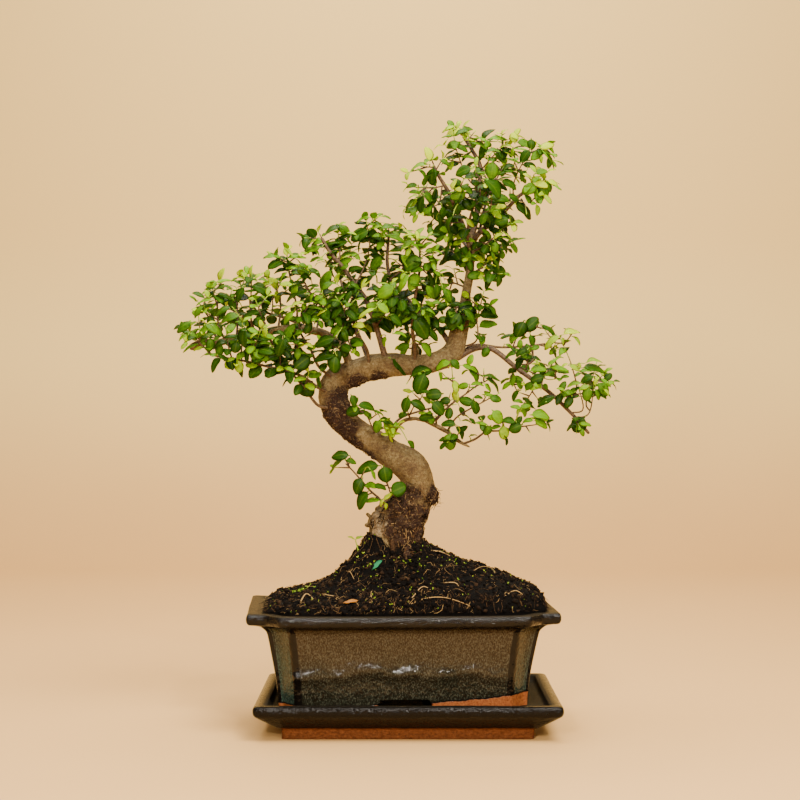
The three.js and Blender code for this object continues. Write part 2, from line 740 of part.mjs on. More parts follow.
function trunkRadius(share) {
  const after = Math.max(1, trunkShares.findIndex((at) => at >= share));
  const [from, to] = [trunkShares[after - 1], trunkShares[after]];
  const t = THREE.MathUtils.clamp((share - from) / (to - from), 0, 1);
  return THREE.MathUtils.lerp(TRUNK[after - 1][3], TRUNK[after][3], t);
}

// The foot of the trunk with its roots and its burl, grown by a margin for the hole in the soil.
function trunkFoot(margin) {
  const [foot, ...rest] = TRUNK.map(seen);
  const middleLine = curveThrough([foot.setZ(foot.z - margin), ...rest]);
  const pieces = [
    tube(middleLine, {
      steps: 28,
      sides: 10,
      radius: (share) => trunkRadius(share) + margin,
      flute: 0.045,
    }),
  ];
  for (const [degrees, reach, radius] of ROOTS) {
    const angle = THREE.MathUtils.degToRad(degrees);
    const at = (distance, z) => [MOUND_CENTRE.x + distance * Math.cos(angle), z, distance * Math.sin(angle)];
    const root = curveThrough([at(...ROOT_FROM), at(...ROOT_OVER), at(reach, ROOT_END)].map(seen));
    const to = margin ? 1 : 1 - GAP / reach;
    const thickness = (share) => radius * (1 - 0.5 * share) + margin;
    pieces.push(tube(root, { to, steps: 3, sides: 5, radius: thickness }));
  }
  const burl = new THREE.SphereGeometry(1, 8, 5);
  const [width, depth, height] = BURL.size;
  const centre = seen(BURL.at);
  burl.scale(width + margin, depth + margin, height + margin).translate(centre.x, centre.y, centre.z);
  pieces.push(burl);
  return joined(pieces.map(solidOf));
}

function limbSolids() {
  return Object.values(LIMBS).map(({ radius, points }) => {
    const curve = curveThrough(points.map(seen));
    return solidOf(tube(curve, { steps: points.length + 1, sides: 6, radius: tapered(radius) }));
  });
}

// The leafy stems

// A stem bent sideways by a distance, all but its root.
function bentCurve(points, bend) {
  return curveThrough(points.map(seen).map((point, k) => (k ? point.setY(point.y + bend) : point)));
}

// A leafy stem leaves the trunk or a limb in a short stub, and goes on just past the stub's end.
function growStem(name, trunk) {
  const { radius, stem } = FOLIAGE[name];
  const steps = stem.length - 1;
  for (const bend of BENDS) {
    const curve = bentCurve(stem, bend);
    const length = curve.getLength();
    const thickness = (share) => radius * (1 - 0.45 * share);
    const longest = Math.min(length - STUB.leaveOver, STUB.longest);
    for (let start = STUB.shortest; start < longest; start += STUB.step) {
      const shape = { steps, sides: radius > 2 ? 5 : 4, radius: thickness };
      const solid = solidOf(tube(curve, { ...shape, from: (start + GAP) / length }));
      if (solid.minGap(trunk, 2 * BARK_GAP) < BARK_GAP || !isClear(name, solid)) continue;
      const stub = solidOf(tube(curve, { ...shape, steps: 1, to: start / length }));
      if (!isClear("trunk", stub)) continue;
      stand("trunk", stub);
      stand(name, solid);
      return { name, stems: [{ curve, from: (start + STUB.shortest) / length }], parts: [solid], stub };
    }
  }
  throw new Error("no room for the stem " + name);
}

// Where a shoot leaves its branch: below the nearest point of any stem that has grown there.
function forkPoint(branch, point) {
  let fork = { distance: Infinity };
  for (const { curve, from } of branch.stems) {
    for (const [k, here] of curve.getSpacedPoints(FORK_STEPS).entries()) {
      const distance = here.distanceTo(point);
      if (distance < fork.distance) fork = { distance, curve, from, share: k / FORK_STEPS };
    }
  }
  const back = (FORK_BACK * fork.distance) / fork.curve.getLength();
  return fork.curve.getPointAt(THREE.MathUtils.clamp(fork.share - back, fork.from, 1));
}

const wavesFrom = (draw) => [0, 1, 2, 3].map(() => 2 * draw() - 1);

// A shoot from its fork to its tip, where it runs out into a leaf. All its rings have four corners.
function leafyShoot(curve, bent, draw) {
  const end = Math.max(0.4, 1 - TIP_SPAN / curve.getLength());
  const rings = [];
  let top = new THREE.Vector3(0.1, 0, 1);
  const first = Math.min(0.3, COLLAR / curve.getLength());
  for (const share of bent ? [first, end * 0.55, end] : [first, end]) {
    const along = curve.getTangentAt(share);
    const side = top.clone().cross(along).normalize();
    top = along.clone().cross(side);
    rings.push([1, 2, 3, 4].map((quarter) => {
      const axis = quarter % 2 ? side : top;
      return curve.getPointAt(share).addScaledVector(axis, (quarter < 3 ? 1 : -1) * TWIG_RADIUS);
    }));
  }
  const length = LEAF.length + LEAF.spread * (2 * draw() - 1);
  const blade = bladePoints(curve.getPointAt(end), curve.getTangentAt(end), top, length, wavesFrom(draw));
  rings.push(blade.near, blade.far);
  const ends = { root: curve.getPointAt(0), tip: blade.tip };
  return { solid: solidOf(ringStack(rings, { ...ends, mirrored: true })), end };
}

function growShoot(branch, points, draw) {
  for (const bend of BENDS) {
    const shifted = points.map(seen).map((point) => point.setY(point.y + bend));
    const curve = curveThrough([forkPoint(branch, shifted[0]), ...shifted]);
    const { solid, end } = leafyShoot(curve, points.length > 1, draw);
    if (!isClear(branch.name, solid)) continue;
    stand(branch.name, solid);
    branch.parts.push(solid);
    branch.stems.push({ curve, from: 0.2 });
    return { branch, curve, end };
  }
  return null;
}

// The points of a pointed oval blade, folded up along its midrib, bent down at its tip and waved.
function bladePoints(root, along, up, length, waves) {
  const side = up.clone().cross(along).normalize();
  const top = along.clone().cross(side);
  const at = (share, across, height) =>
    root
      .clone()
      .addScaledVector(along, share * length)
      .addScaledVector(side, (across * LEAF.width * length) / 2)
      .addScaledVector(top, height - LEAF.droop * length * share * share);
  const ring = (share, width, left, right) => [
    at(share, width, (LEAF.fold * width + LEAF.wave * left) * length),
    at(share, 0, LEAF.thick / 2),
    at(share, -width, (LEAF.fold * width + LEAF.wave * right) * length),
    at(share, 0, -LEAF.thick / 2),
  ];
  return {
    root,
    near: ring(LEAF.widest, 1, waves[0], waves[1]),
    far: ring(LEAF.shoulder, LEAF.shoulderWidth, waves[2], waves[3]),
    tip: at(1, 0, 0),
  };
}

function leafBlade(root, along, up, length, waves) {
  const blade = bladePoints(root, along, up, length, waves);
  return solidOf(ringStack([blade.near, blade.far], { root: blade.root, tip: blade.tip, mirrored: true }));
}

// One leaf at a share of a shoot, turned about the shoot until it is clear of what stands already.
function growLeaf({ branch, curve }, share, turn, draw) {
  const root = curve.getPointAt(share);
  const ahead = curve.getTangentAt(share);
  const level = new THREE.Vector3(0, 0, 1).cross(ahead);
  const flat = level.length() > 0.2 ? level.normalize() : new THREE.Vector3(1, 0, 0).cross(ahead).normalize();
  const length = LEAF.length + LEAF.spread * (2 * draw() - 1);
  const waves = wavesFrom(draw);
  for (const twist of LEAF_TWISTS) {
    const outward = flat.clone().applyAxisAngle(ahead, turn + twist);
    const along = ahead.clone().multiplyScalar(Math.cos(LEAN)).addScaledVector(outward, Math.sin(LEAN));
    const up = ahead.clone().multiplyScalar(0.5).add(new THREE.Vector3(0.1, 0, 0.9));
    const solid = leafBlade(root, along.normalize(), up, length, waves);
    if (!isClear(branch.name, solid, true)) continue;
    stand(branch.name, solid, true);
    branch.parts.push(solid);
    return;
  }
}

// Below the leaf at its tip a shoot bears one leaf, a short one none and a long one a pair.
function growLeaves(shoot, draw) {
  const turn = draw() < 0.5 ? 0 : Math.PI;
  const length = shoot.curve.getLength();
  if (length > SHORT_SHOOT) growLeaf(shoot, shoot.end * PAIR_AT, turn, draw);
  if (length > LONG_SHOOT) growLeaf(shoot, shoot.end * PAIR_AT, turn + Math.PI, draw);
}

function growTree() {
  const trunk = joined([trunkFoot(0), ...limbSolids()]);
  stand("trunk", trunk);
  const branches = Object.keys(FOLIAGE).map((name) => growStem(name, trunk));
  const draw = drawFrom(2024);
  const shoots = branches.flatMap((branch) =>
    FOLIAGE[branch.name].shoots.map((points) => growShoot(branch, points, draw)).filter(Boolean),
  );
  shoots.forEach((shoot) => growLeaves(shoot, draw));
  return { wood: joined([trunk, ...branches.map((branch) => branch.stub)]), branches };
}

// What lies on the soil

// The height of the soil's top at a point, read from a thin column cut out of it.
function soilTop(soil, [x, y]) {
  const column = new THREE.BoxGeometry(COLUMN, COLUMN, 1000).translate(x, y, 0);
  return soil.intersect(solidOf(column)).boundingBox().max[2];
}

// A loose leaf let down onto the soil, its tip pointing in a direction given in degrees.
function looseLeaf(soil, { at, towards, length, slope }) {
  const angle = THREE.MathUtils.degToRad(towards);
  const along = new THREE.Vector3(Math.cos(angle), Math.sin(angle), slope).normalize();
  const root = new THREE.Vector3(...at, soilTop(soil, at));
  for (;;) {
    const leaf = leafBlade(root, along, new THREE.Vector3(0, -0.5, 1), length, LOOSE_WAVES);
    if (leaf.minGap(soil, 2 * GAP) >= GAP) return geometryOf(leaf);
    root.z += GAP / 2;
  }
}

function makeSeedling(foot) {
  const [x, y] = SEEDLING.at;
  const stem = curveThrough([
    new THREE.Vector3(x, y, foot - SEEDLING.deep),
    new THREE.Vector3(x, y, foot + SEEDLING.height * 0.3),
    new THREE.Vector3(x - 2, y - 1, foot + SEEDLING.height),
  ]);
  const parts = [solidOf(tube(stem, { steps: 3, sides: 4, radius: () => TWIG_RADIUS }))];
  for (const towards of SEEDLING.leaves) {
    const angle = THREE.MathUtils.degToRad(towards);
    const along = new THREE.Vector3(Math.cos(angle), Math.sin(angle), 0.3).normalize();
    const up = new THREE.Vector3(0, -0.4, 1);
    parts.push(leafBlade(stem.getPointAt(0.94), along, up, SEEDLING.leaf, LOOSE_WAVES));
  }
  return joined(parts);
}

function seedlingHole(foot) {
  const [x, y] = SEEDLING.at;
  const hole = new THREE.CylinderGeometry(TWIG_RADIUS + GAP, TWIG_RADIUS + GAP, 2 * (SEEDLING.deep + GAP), 8);
  return solidOf(hole.rotateX(Math.PI / 2).translate(x, y, foot));
}

// The assembly

const GLAZE = { color: 0x23221c, roughness: 0.22, metalness: 0 };
const POT_GLAZE = { color: 0x5a5344, roughness: 0.3, metalness: 0 };
const PLASTIC = { color: 0x2b2b2b, roughness: 0.6, metalness: 0 };
const PEAT = { color: 0x2a1a10, roughness: 1, metalness: 0 };
const BARK = { color: 0x8a6a48, roughness: 0.85, metalness: 0 };
const GREEN = { color: 0x4f8f1c, roughness: 0.45, metalness: 0 };
const FRESH_GREEN = { color: 0x8fc52a, roughness: 0.45, metalness: 0 };
const DEAD_LEAF = { color: 0xa8652c, roughness: 0.8, metalness: 0 };

function mesh(name, geometry, finish) {
  geometry.computeVertexNormals();
  const made = new THREE.Mesh(geometry, new THREE.MeshStandardMaterial(finish));
  made.name = name;
  return made;
}

const bonsai = new THREE.Group();
const saucer = mesh("saucer", makeSaucer(), GLAZE);
bonsai.add(saucer);

const potGroup = new THREE.Group();
potGroup.position.set(POT.x, 0, SAUCER.floor + GAP);
potGroup.rotation.z = POT.yaw;
potGroup.updateMatrix();
potGroup.add(mesh("pot", makePot(), POT_GLAZE));
for (const [name, side] of [["drain_mesh_left", -1], ["drain_mesh_right", 1]]) {
  const drainMesh = mesh(name, makeDrainMesh(), PLASTIC);
  drainMesh.position.set(side * POT.drainX, 0, POT.floorHeight + GAP);
  potGroup.add(drainMesh);
}
const toWorld = potGroup.matrix.elements;
const fromWorld = potGroup.matrix.clone().invert().elements;
const whole = makeSoil(potGroup.matrix).transform(toWorld).subtract(trunkFoot(GAP));
const seedlingFoot = soilTop(whole, SEEDLING.at);
const soil = whole.subtract(seedlingHole(seedlingFoot));
potGroup.add(mesh("soil", geometryOf(soil.transform(fromWorld)), PEAT));
bonsai.add(potGroup);

const tree = new THREE.Group();
const { wood, branches } = growTree();
tree.add(mesh("trunk", geometryOf(wood), BARK));
for (const { name, parts } of branches) {
  const finish = FRESH_STEMS.includes(name) ? FRESH_GREEN : GREEN;
  tree.add(mesh("leaves_" + name, geometryOf(joined(parts)), finish));
}
bonsai.add(tree);

bonsai.add(mesh("fallen_leaf", looseLeaf(soil, FALLEN_LEAF), GREEN));
bonsai.add(mesh("dry_leaf", looseLeaf(soil, DRY_LEAF), DEAD_LEAF));
bonsai.add(mesh("seedling", geometryOf(makeSeedling(seedlingFoot)), FRESH_GREEN));

export default bonsai;
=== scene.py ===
"""A privet bonsai in its glazed pot and saucer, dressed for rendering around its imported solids.

Sizes and places are in millimetres, with +Z up, the front facing -Y, and the origin at the centre
of the saucer's flat underside. Points of the tree are given as x, z and depth: x and z as they are
seen from straight in front in the plane through the origin, and how far behind that plane they lie.
"""
import logging
import math
from collections.abc import Callable, Iterable
from dataclasses import dataclass, field
from enum import Enum

import bpy
import numpy as np
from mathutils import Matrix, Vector, kdtree, noise


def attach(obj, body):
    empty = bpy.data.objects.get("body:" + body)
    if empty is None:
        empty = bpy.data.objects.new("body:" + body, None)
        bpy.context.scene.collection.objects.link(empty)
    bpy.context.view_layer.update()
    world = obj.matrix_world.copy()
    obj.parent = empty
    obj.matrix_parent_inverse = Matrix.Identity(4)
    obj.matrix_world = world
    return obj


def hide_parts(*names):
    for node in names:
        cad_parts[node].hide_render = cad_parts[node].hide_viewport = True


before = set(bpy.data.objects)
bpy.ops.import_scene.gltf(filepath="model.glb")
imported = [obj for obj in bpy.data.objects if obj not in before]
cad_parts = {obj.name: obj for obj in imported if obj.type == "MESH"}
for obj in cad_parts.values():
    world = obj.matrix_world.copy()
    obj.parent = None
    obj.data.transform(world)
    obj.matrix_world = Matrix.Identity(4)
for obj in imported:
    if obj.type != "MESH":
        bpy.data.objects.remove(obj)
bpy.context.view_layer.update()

log = logging.getLogger("bonsai")

MM = 0.001
Pair = tuple[float, float]
Point = tuple[float, float, float]
Colour = tuple[float, float, float]
Table = tuple[tuple[float, ...], ...]
Array = np.ndarray


class Slot(Enum):
    """The record's material slots."""

    SAUCER = "saucer_glaze"
    POT = "pot_glaze"
    SOIL = "soil"
    BARK = "bark"
    GREEN = "leaf_green"
    FRESH = "leaf_fresh"
    DRY = "leaf_dry"


def table(text: str) -> Table:
    """Reads a table that has spaces between its rows and commas between the numbers of a row."""
    return tuple(tuple(float(number) for number in row.split(",")) for row in text.split())


# Drawing helpers


@dataclass(frozen=True)
class Eye:
    """The point that the tree is seen from, straight in front of it."""

    x: float = -6.5
    z: float = 270
    distance: float = 1664  # in front of the origin's plane
    pixel: float = 0.841  # the size of a pixel of the photograph in that plane
    left: float = -342.9  # x at its left edge
    top: float = 608.1  # z at its top edge

    def seen(self, point: Point) -> Array:
        """Slides a point along the line of sight to its depth.

        Args:
            point: x, z and depth.

        Returns:
            Its place in x, y and z.
        """
        x, z, depth = point
        nearer = 1 + depth / self.distance
        return np.array([self.x + (x - self.x) * nearer, depth, self.z + (z - self.z) * nearer])

    def picture(self, places: Array) -> Array:
        """Gives x and z in the origin's plane at which places are seen."""
        middle, nearer = np.array([self.x, self.z]), 1 + places[..., 1] / self.distance
        return middle + (places[..., [0, 2]] - middle) / nearer[..., None]

    def spot(self, across: float, down: float) -> Array:
        """Gives x and z in the origin's plane for a pixel of the 800 x 800 photograph."""
        return np.array([self.pixel * across + self.left, self.top - self.pixel * down])


EYE = Eye()


class Curve:
    """A smooth line through points, walked by the share of its length."""

    SAMPLES = 16
    STEP = 0.02  # the share of the length over which a direction is taken

    def __init__(self, points: Iterable[Array]) -> None:
        """Draws the line as a fine chain of samples.

        Args:
            points: places in x, y and z that the line goes through.
        """
        middle = [np.asarray(point, float) for point in points]
        run = [2 * middle[0] - middle[1], *middle, 2 * middle[-1] - middle[-2]]
        chain = [middle[0]]
        for before, start, end, after in zip(run, run[1:], run[2:], run[3:]):
            chain += self._span(before, start, end, after)
        self.chain = np.array(chain)
        steps = np.linalg.norm(np.diff(self.chain, axis=0), axis=1)
        self.walked = np.concatenate([[0], np.cumsum(steps)])
        self.length = float(self.walked[-1])

    def _span(self, before: Array, start: Array, end: Array, after: Array) -> list[Array]:
        """Samples the span from start to end in a way that close points don't make a loop.

        Args:
            before: the point before the span.
            start: its first point.
            end: its last point.
            after: the point after it.

        Returns:
            The samples without the first.
        """
        sides = ((before, start), (start, end), (end, after))
        near, here, far = (max(1e-3, float(np.linalg.norm(b - a)) ** 0.5) for a, b in sides)
        leave = (start - before) / near - (end - before) / (near + here) + (end - start) / here
        arrive = (end - start) / here - (after - start) / (here + far) + (after - end) / far
        leave, arrive = leave * here, arrive * here
        samples = []
        for t in np.linspace(0, 1, self.SAMPLES + 1)[1:]:
            cubic = (2 * t**3 - 3 * t**2 + 1) * start + (t**3 - 2 * t**2 + t) * leave
            samples.append(cubic + (3 * t**2 - 2 * t**3) * end + (t**3 - t**2) * arrive)
        return samples

    def at(self, share: float | Array) -> Array:
        """Gives the place at a share of the length, or the places at several."""
        far = np.clip(share, 0, 1) * self.length
        return np.stack([np.interp(far, self.walked, self.chain[:, k]) for k in range(3)], axis=-1)

    def along(self, share: float) -> Array:
        """Gives the direction at a share of the length."""
        return unit(self.at(min(1.0, share + self.STEP)) - self.at(max(0.0, share - self.STEP)))

    def nearest(self, point: Array) -> Pair:
        """Finds the share of the length that is nearest to a point, and how far away it is."""
        away = np.linalg.norm(self.chain - point, axis=1)
        return float(self.walked[away.argmin()]) / self.length, float(away.min())


def unit(vector: Array) -> Array:
    """Gives a vector's direction."""
    return vector / max(1e-9, float(np.linalg.norm(vector)))


def way(turn: float) -> Array:
    """Gives the direction of an angle in radians, in a plane."""
    return np.array([math.cos(turn), math.sin(turn)])


def turned(vector: Array, axis: Array, angle: float) -> Array:
    """Turns a vector about a direction by an angle in radians, by the right-hand rule."""
    kept = axis * float(axis @ vector) * (1 - math.cos(angle))
    return vector * math.cos(angle) + np.cross(axis, vector) * math.sin(angle) + kept


def ripple(place: Array, size: float, seed: float) -> float:
    """Gives smooth chance from -1 to 1 with hills a size apart; another seed gives other chance."""
    return noise.noise(Vector(place / size) + Vector((seed, seed * 1.7, -seed)))


def ease(value: Array | float, low: float, high: float) -> Array | float:
    """Goes smoothly from 0 at low to 1 at high."""
    t = np.clip((value - low) / (high - low), 0, 1)
    return t * t * (3 - 2 * t)


class Draft:
    """A mesh being drawn up in millimetres, with numbers that its corners carry to the finish."""

    FIRST_SIDE = np.array([0.31, 0.9, 0.3])  # where a tube's rings start
    END_REACH, END_RADIUS = 0.6, 0.55  # how a tube is rounded off, as shares of its radius

    def __init__(self) -> None:
        """Starts with nothing drawn."""
        self.corners: list[Array] = []
        self.faces: list[Array] = []
        self.marks: dict[str, list[Array]] = {}
        self.count = 0

    def add(self, corners: Array, faces: Iterable[Array], **marks: Array | float) -> None:
        """Adds some corners and faces.

        Args:
            corners: their places, one row each.
            faces: arrays of faces with equally many corners each, counted from 0.
            marks: a number for each corner, or one for all, by its name.
        """
        for name in marks.keys() - self.marks.keys():
            self.marks[name] = [np.zeros(self.count)] if self.count else []
        for name, values in self.marks.items():
            values.append(np.broadcast_to(np.asarray(marks.get(name, 0.0), float), len(corners)))
        self.faces += [np.asarray(group) + self.count for group in faces]
        self.corners.append(corners)
        self.count += len(corners)

    def rings(self, rings: Array, **marks: Array | float) -> None:
        """Adds a closed body through rings of equally many corners, capped at both ends.

        Args:
            rings: places by ring and by corner, each ring anticlockwise about the way it goes.
            marks: numbers for its corners, as for add.
        """
        count, sides = rings.shape[:2]
        here = np.arange((count - 1) * sides).reshape(count - 1, sides)
        after = np.roll(here, -1, axis=1)
        walls = np.stack([here, after, after + sides, here + sides], axis=-1).reshape(-1, 4)
        end = np.arange(sides)
        caps = np.stack([end[::-1], end + (count - 1) * sides])
        self.add(rings.reshape(-1, 3), [walls, caps], **marks)

    def tube(self, curve: Curve, radius: Callable[[float], float], steps: int, sides: int,
             **marks: Array | float) -> None:
        """Adds a closed round tube along a curve, rounded off at its end.

        Args:
            curve: its middle line.
            radius: gives the radius at a share of the curve.
            steps: how many spans it has.
            sides: how many corners go round it.
            marks: numbers for its corners, as for add; a mark may be given by ring.
        """
        side = self.FIRST_SIDE
        shares = np.append(np.linspace(0, 1, steps + 1), 1.0)
        places = curve.at(shares)
        angles = np.linspace(0, math.tau, sides, endpoint=False)
        rings = []
        for k, share in enumerate(shares):
            along = unit(places[min(k + 1, steps)] - places[max(0, min(k, steps) - 1)])
            side = unit(side - along * float(side @ along))
            other = np.cross(along, side)
            last = k == len(shares) - 1
            reach = radius(share) * (self.END_RADIUS if last else 1)
            centre = places[k] + (along * radius(share) * self.END_REACH if last else 0)
            around = np.outer(np.cos(angles), side) + np.outer(np.sin(angles), other)
            rings.append(centre + reach * around)
        spread = {name: np.repeat(mark, sides) if np.ndim(mark) else mark for name, mark in marks.items()}
        self.rings(np.array(rings), **spread)

    def build(self, name: str, finish: bpy.types.Material, smooth: bool = True) -> bpy.types.Object:
        """Makes the mesh and its object.

        Args:
            name: the object's name.
            finish: its material.
            smooth: whether its faces are shaded as one surface.

        Returns:
            The object, in the scene.
        """
        loops = np.concatenate([group.ravel() for group in self.faces])
        sizes = np.concatenate([np.full(len(group), group.shape[1]) for group in self.faces])
        mesh = bpy.data.meshes.new(name)
        mesh.vertices.add(self.count)
        mesh.vertices.foreach_set("co", (np.concatenate(self.corners) * MM).ravel())
        mesh.loops.add(len(loops))
        mesh.loops.foreach_set("vertex_index", loops.astype(np.int32))
        mesh.polygons.add(len(sizes))
        mesh.polygons.foreach_set("loop_start", (np.cumsum(sizes) - sizes).astype(np.int32))
        mesh.update(calc_edges=True)
        mesh.validate()
        for mark, values in self.marks.items():
            mesh.attributes.new(mark, "FLOAT", "POINT").data.foreach_set("value", np.concatenate(values))
        if smooth:
            mesh.shade_smooth()
        mesh.materials.append(finish)
        return link(name, mesh)


def link(name: str, data: bpy.types.ID) -> bpy.types.Object:
    """Puts an object in the scene.

    Args:
        name: its name.
        data: its mesh, camera or lamp.

    Returns:
        The object.
    """
    made = bpy.data.objects.new(name, data)
    bpy.context.scene.collection.objects.link(made)
    return made


def stand(piece: bpy.types.Object, slot: Slot, *nodes: str) -> None:
    """Puts a piece on the part and reports it.

    Args:
        piece: the object.
        slot: what its finish belongs to; not used.
        nodes: the solids that it stands for, if any.
    """
    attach(piece, "root")
    if nodes:
        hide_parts(*nodes)
    piece.data.calc_loop_triangles()
    log.info("%s: %d triangles, for %s", piece.name, len(piece.data.loop_triangles), nodes or "no solid")


# Shader helpers


class Value:
    """A shader socket that is used in sums as a number is.

    Args:
        graph: the material's nodes.
        socket: the output socket.
    """

    def __init__(self, graph: "Graph", socket: bpy.types.NodeSocket) -> None:
        """Wraps the socket."""
        self.graph = graph
        self.socket = socket

    def _math(self, operation: str, first: "Value | float", second: "Value | float") -> "Value":
        """Adds one Math node."""
        return self.graph.node("Math", {"operation": operation}, {0: first, 1: second})

    def __add__(self, other: "Value | float") -> "Value":
        """Adds."""
        return self._math("ADD", self, other)

    def __sub__(self, other: "Value | float") -> "Value":
        """Subtracts."""
        return self._math("SUBTRACT", self, other)

    def __rsub__(self, other: float) -> "Value":
        """Subtracts from a number."""
        return self._math("SUBTRACT", other, self)

    def __mul__(self, other: "Value | float") -> "Value":
        """Multiplies."""
        return self._math("MULTIPLY", self, other)

    __radd__ = __add__
    __rmul__ = __mul__

    def over(self, low: float, high: float) -> "Value":
        """Goes smoothly from 0 where the value is low to 1 where it is high."""
        settings = {"interpolation_type": "SMOOTHSTEP"}
        return self.graph.node("MapRange", settings, {0: self, 1: low, 2: high, 3: 0.0, 4: 1.0})

    def wave(self) -> "Value":
        """Gives the sine."""
        return self._math("SINE", self, 0.0)

    def most(self, other: "Value | float") -> "Value":
        """Gives the larger of two."""
        return self._math("MAXIMUM", self, other)


class Graph:
    """The nodes of one material."""

    def __init__(self, name: str) -> None:
        """Starts with an empty material.

        Args:
            name: its name.
        """
        self.material = bpy.data.materials.new(name)
        self.material.use_nodes = True
        self.nodes = self.material.node_tree.nodes
        self.nodes.clear()

    def node(self, kind: str, settings: dict[str, object] | None = None,
             inputs: dict[int | str, object] | None = None, output: int | str = 0) -> Value:
        """Adds one shader node.

        Args:
            kind: its type, without the common start of the name.
            settings: its properties, set first.
            inputs: a value or a link for each socket, by its number or name.
            output: the socket that is handed back.

        Returns:
            The output socket.
        """
        made = self.nodes.new("ShaderNode" + kind)
        for name, setting in (settings or {}).items():
            setattr(made, name, setting)
        for key, value in (inputs or {}).items():
            if isinstance(value, Value):
                self.material.node_tree.links.new(value.socket, made.inputs[key])
            else:
                made.inputs[key].default_value = value
        return Value(self, made.outputs[output] if made.outputs else None)

    def place(self) -> Value:
        """Gives the place on the object in millimetres."""
        coordinates = self.node("TexCoord", output="Object")
        return self.node("VectorMath", {"operation": "SCALE"}, {0: coordinates, "Scale": 1 / MM})

    def axis(self, place: Value, name: str) -> Value:
        """Gives one coordinate of a place: X, Y or Z."""
        return self.node("SeparateXYZ", None, {0: place}, name)

    def cloud(self, place: Value, size: float, detail: float = 3.0, rough: float = 0.55,
              twist: float = 0.0) -> Value:
        """Gives smooth chance from 0 to 1: its hills' size, its finer layers, their strength, its smear."""
        inputs = {"Vector": place, "Scale": 1 / size, "Detail": detail, "Roughness": rough}
        return self.node("TexNoise", None, {**inputs, "Distortion": twist})

    def cells(self, place: Value, size: float, feature: str = "F1") -> Value:
        """Gives the distance to the nearest of scattered points, or to the edge between two."""
        return self.node("TexVoronoi", {"feature": feature}, {"Vector": place, "Scale": 1 / size})

    def mark(self, name: str) -> Value:
        """Gives a number that the mesh's corners carry."""
        return self.node("Attribute", {"attribute_name": name}, output="Fac")

    def mix(self, share: Value | float, first: Value | Colour, second: Value | Colour) -> Value:
        """Mixes two colours, with a share of the second."""
        pair = {k: (*c, 1.0) if isinstance(c, tuple) else c for k, c in ((6, first), (7, second))}
        return self.node("Mix", {"data_type": "RGBA", "clamp_factor": True}, {0: share, **pair}, 2)

    def ramp(self, value: Value, *stops: tuple[float, Colour]) -> Value:
        """Turns a number into a colour.

        Args:
            value: the number.
            stops: places from 0 to 1 with their colours.

        Returns:
            The colour.
        """
        made = self.node("ValToRGB", None, {0: value})
        elements = made.socket.node.color_ramp.elements
        while len(elements) < len(stops):
            elements.new(0.5)
        for element, (place, colour) in zip(elements, stops):
            element.position, element.color = place, (*colour, 1.0)
        return made

    def stretch(self, place: Value, scale: Point) -> Value:
        """Multiplies a place's coordinates."""
        return self.node("VectorMath", {"operation": "MULTIPLY"}, {0: place, 1: scale})

    def bump(self, height: Value, depth: float, below: Value | None = None) -> Value:
        """Turns a height from 0 to 1, some millimetres deep, into a normal over the one below."""
        inputs = {"Height": height, "Strength": 1.0, "Distance": depth * MM}
        return self.node("Bump", None, {**inputs, "Normal": below} if below else inputs)

    def surface(self, **inputs: object) -> Value:
        """Adds the main shader, its sockets named in small letters with underscores."""
        names = {key: key.replace("_", " ").title().replace("Ior", "IOR") for key in inputs}
        return self.node("BsdfPrincipled", None, {names[key]: value for key, value in inputs.items()})

    def dusted(self, glazed: Value, share: Value, dust: Colour) -> Value:
        """Lays a matt film of dust over a share of a glaze."""
        film = self.surface(base_color=(*dust, 1.0), roughness=0.9, specular_ior_level=0.0)
        return self.node("MixShader", None, {0: share, 1: glazed, 2: film})

    def show(self, shader: Value) -> bpy.types.Material:
        """Makes a shader the material's surface and hands the material back."""
        self.node("OutputMaterial", None, {"Surface": shader})
        return self.material


# Finishes


def paint(code: int) -> Colour:
    """Turns a colour code of a paint chart, red green blue, into the light that it sends back."""
    parts = [(code >> shift & 255) / 255 for shift in (16, 8, 0)]
    return tuple(part / 12.92 if part <= 0.04045 else ((part + 0.055) / 1.055) ** 2.4 for part in parts)


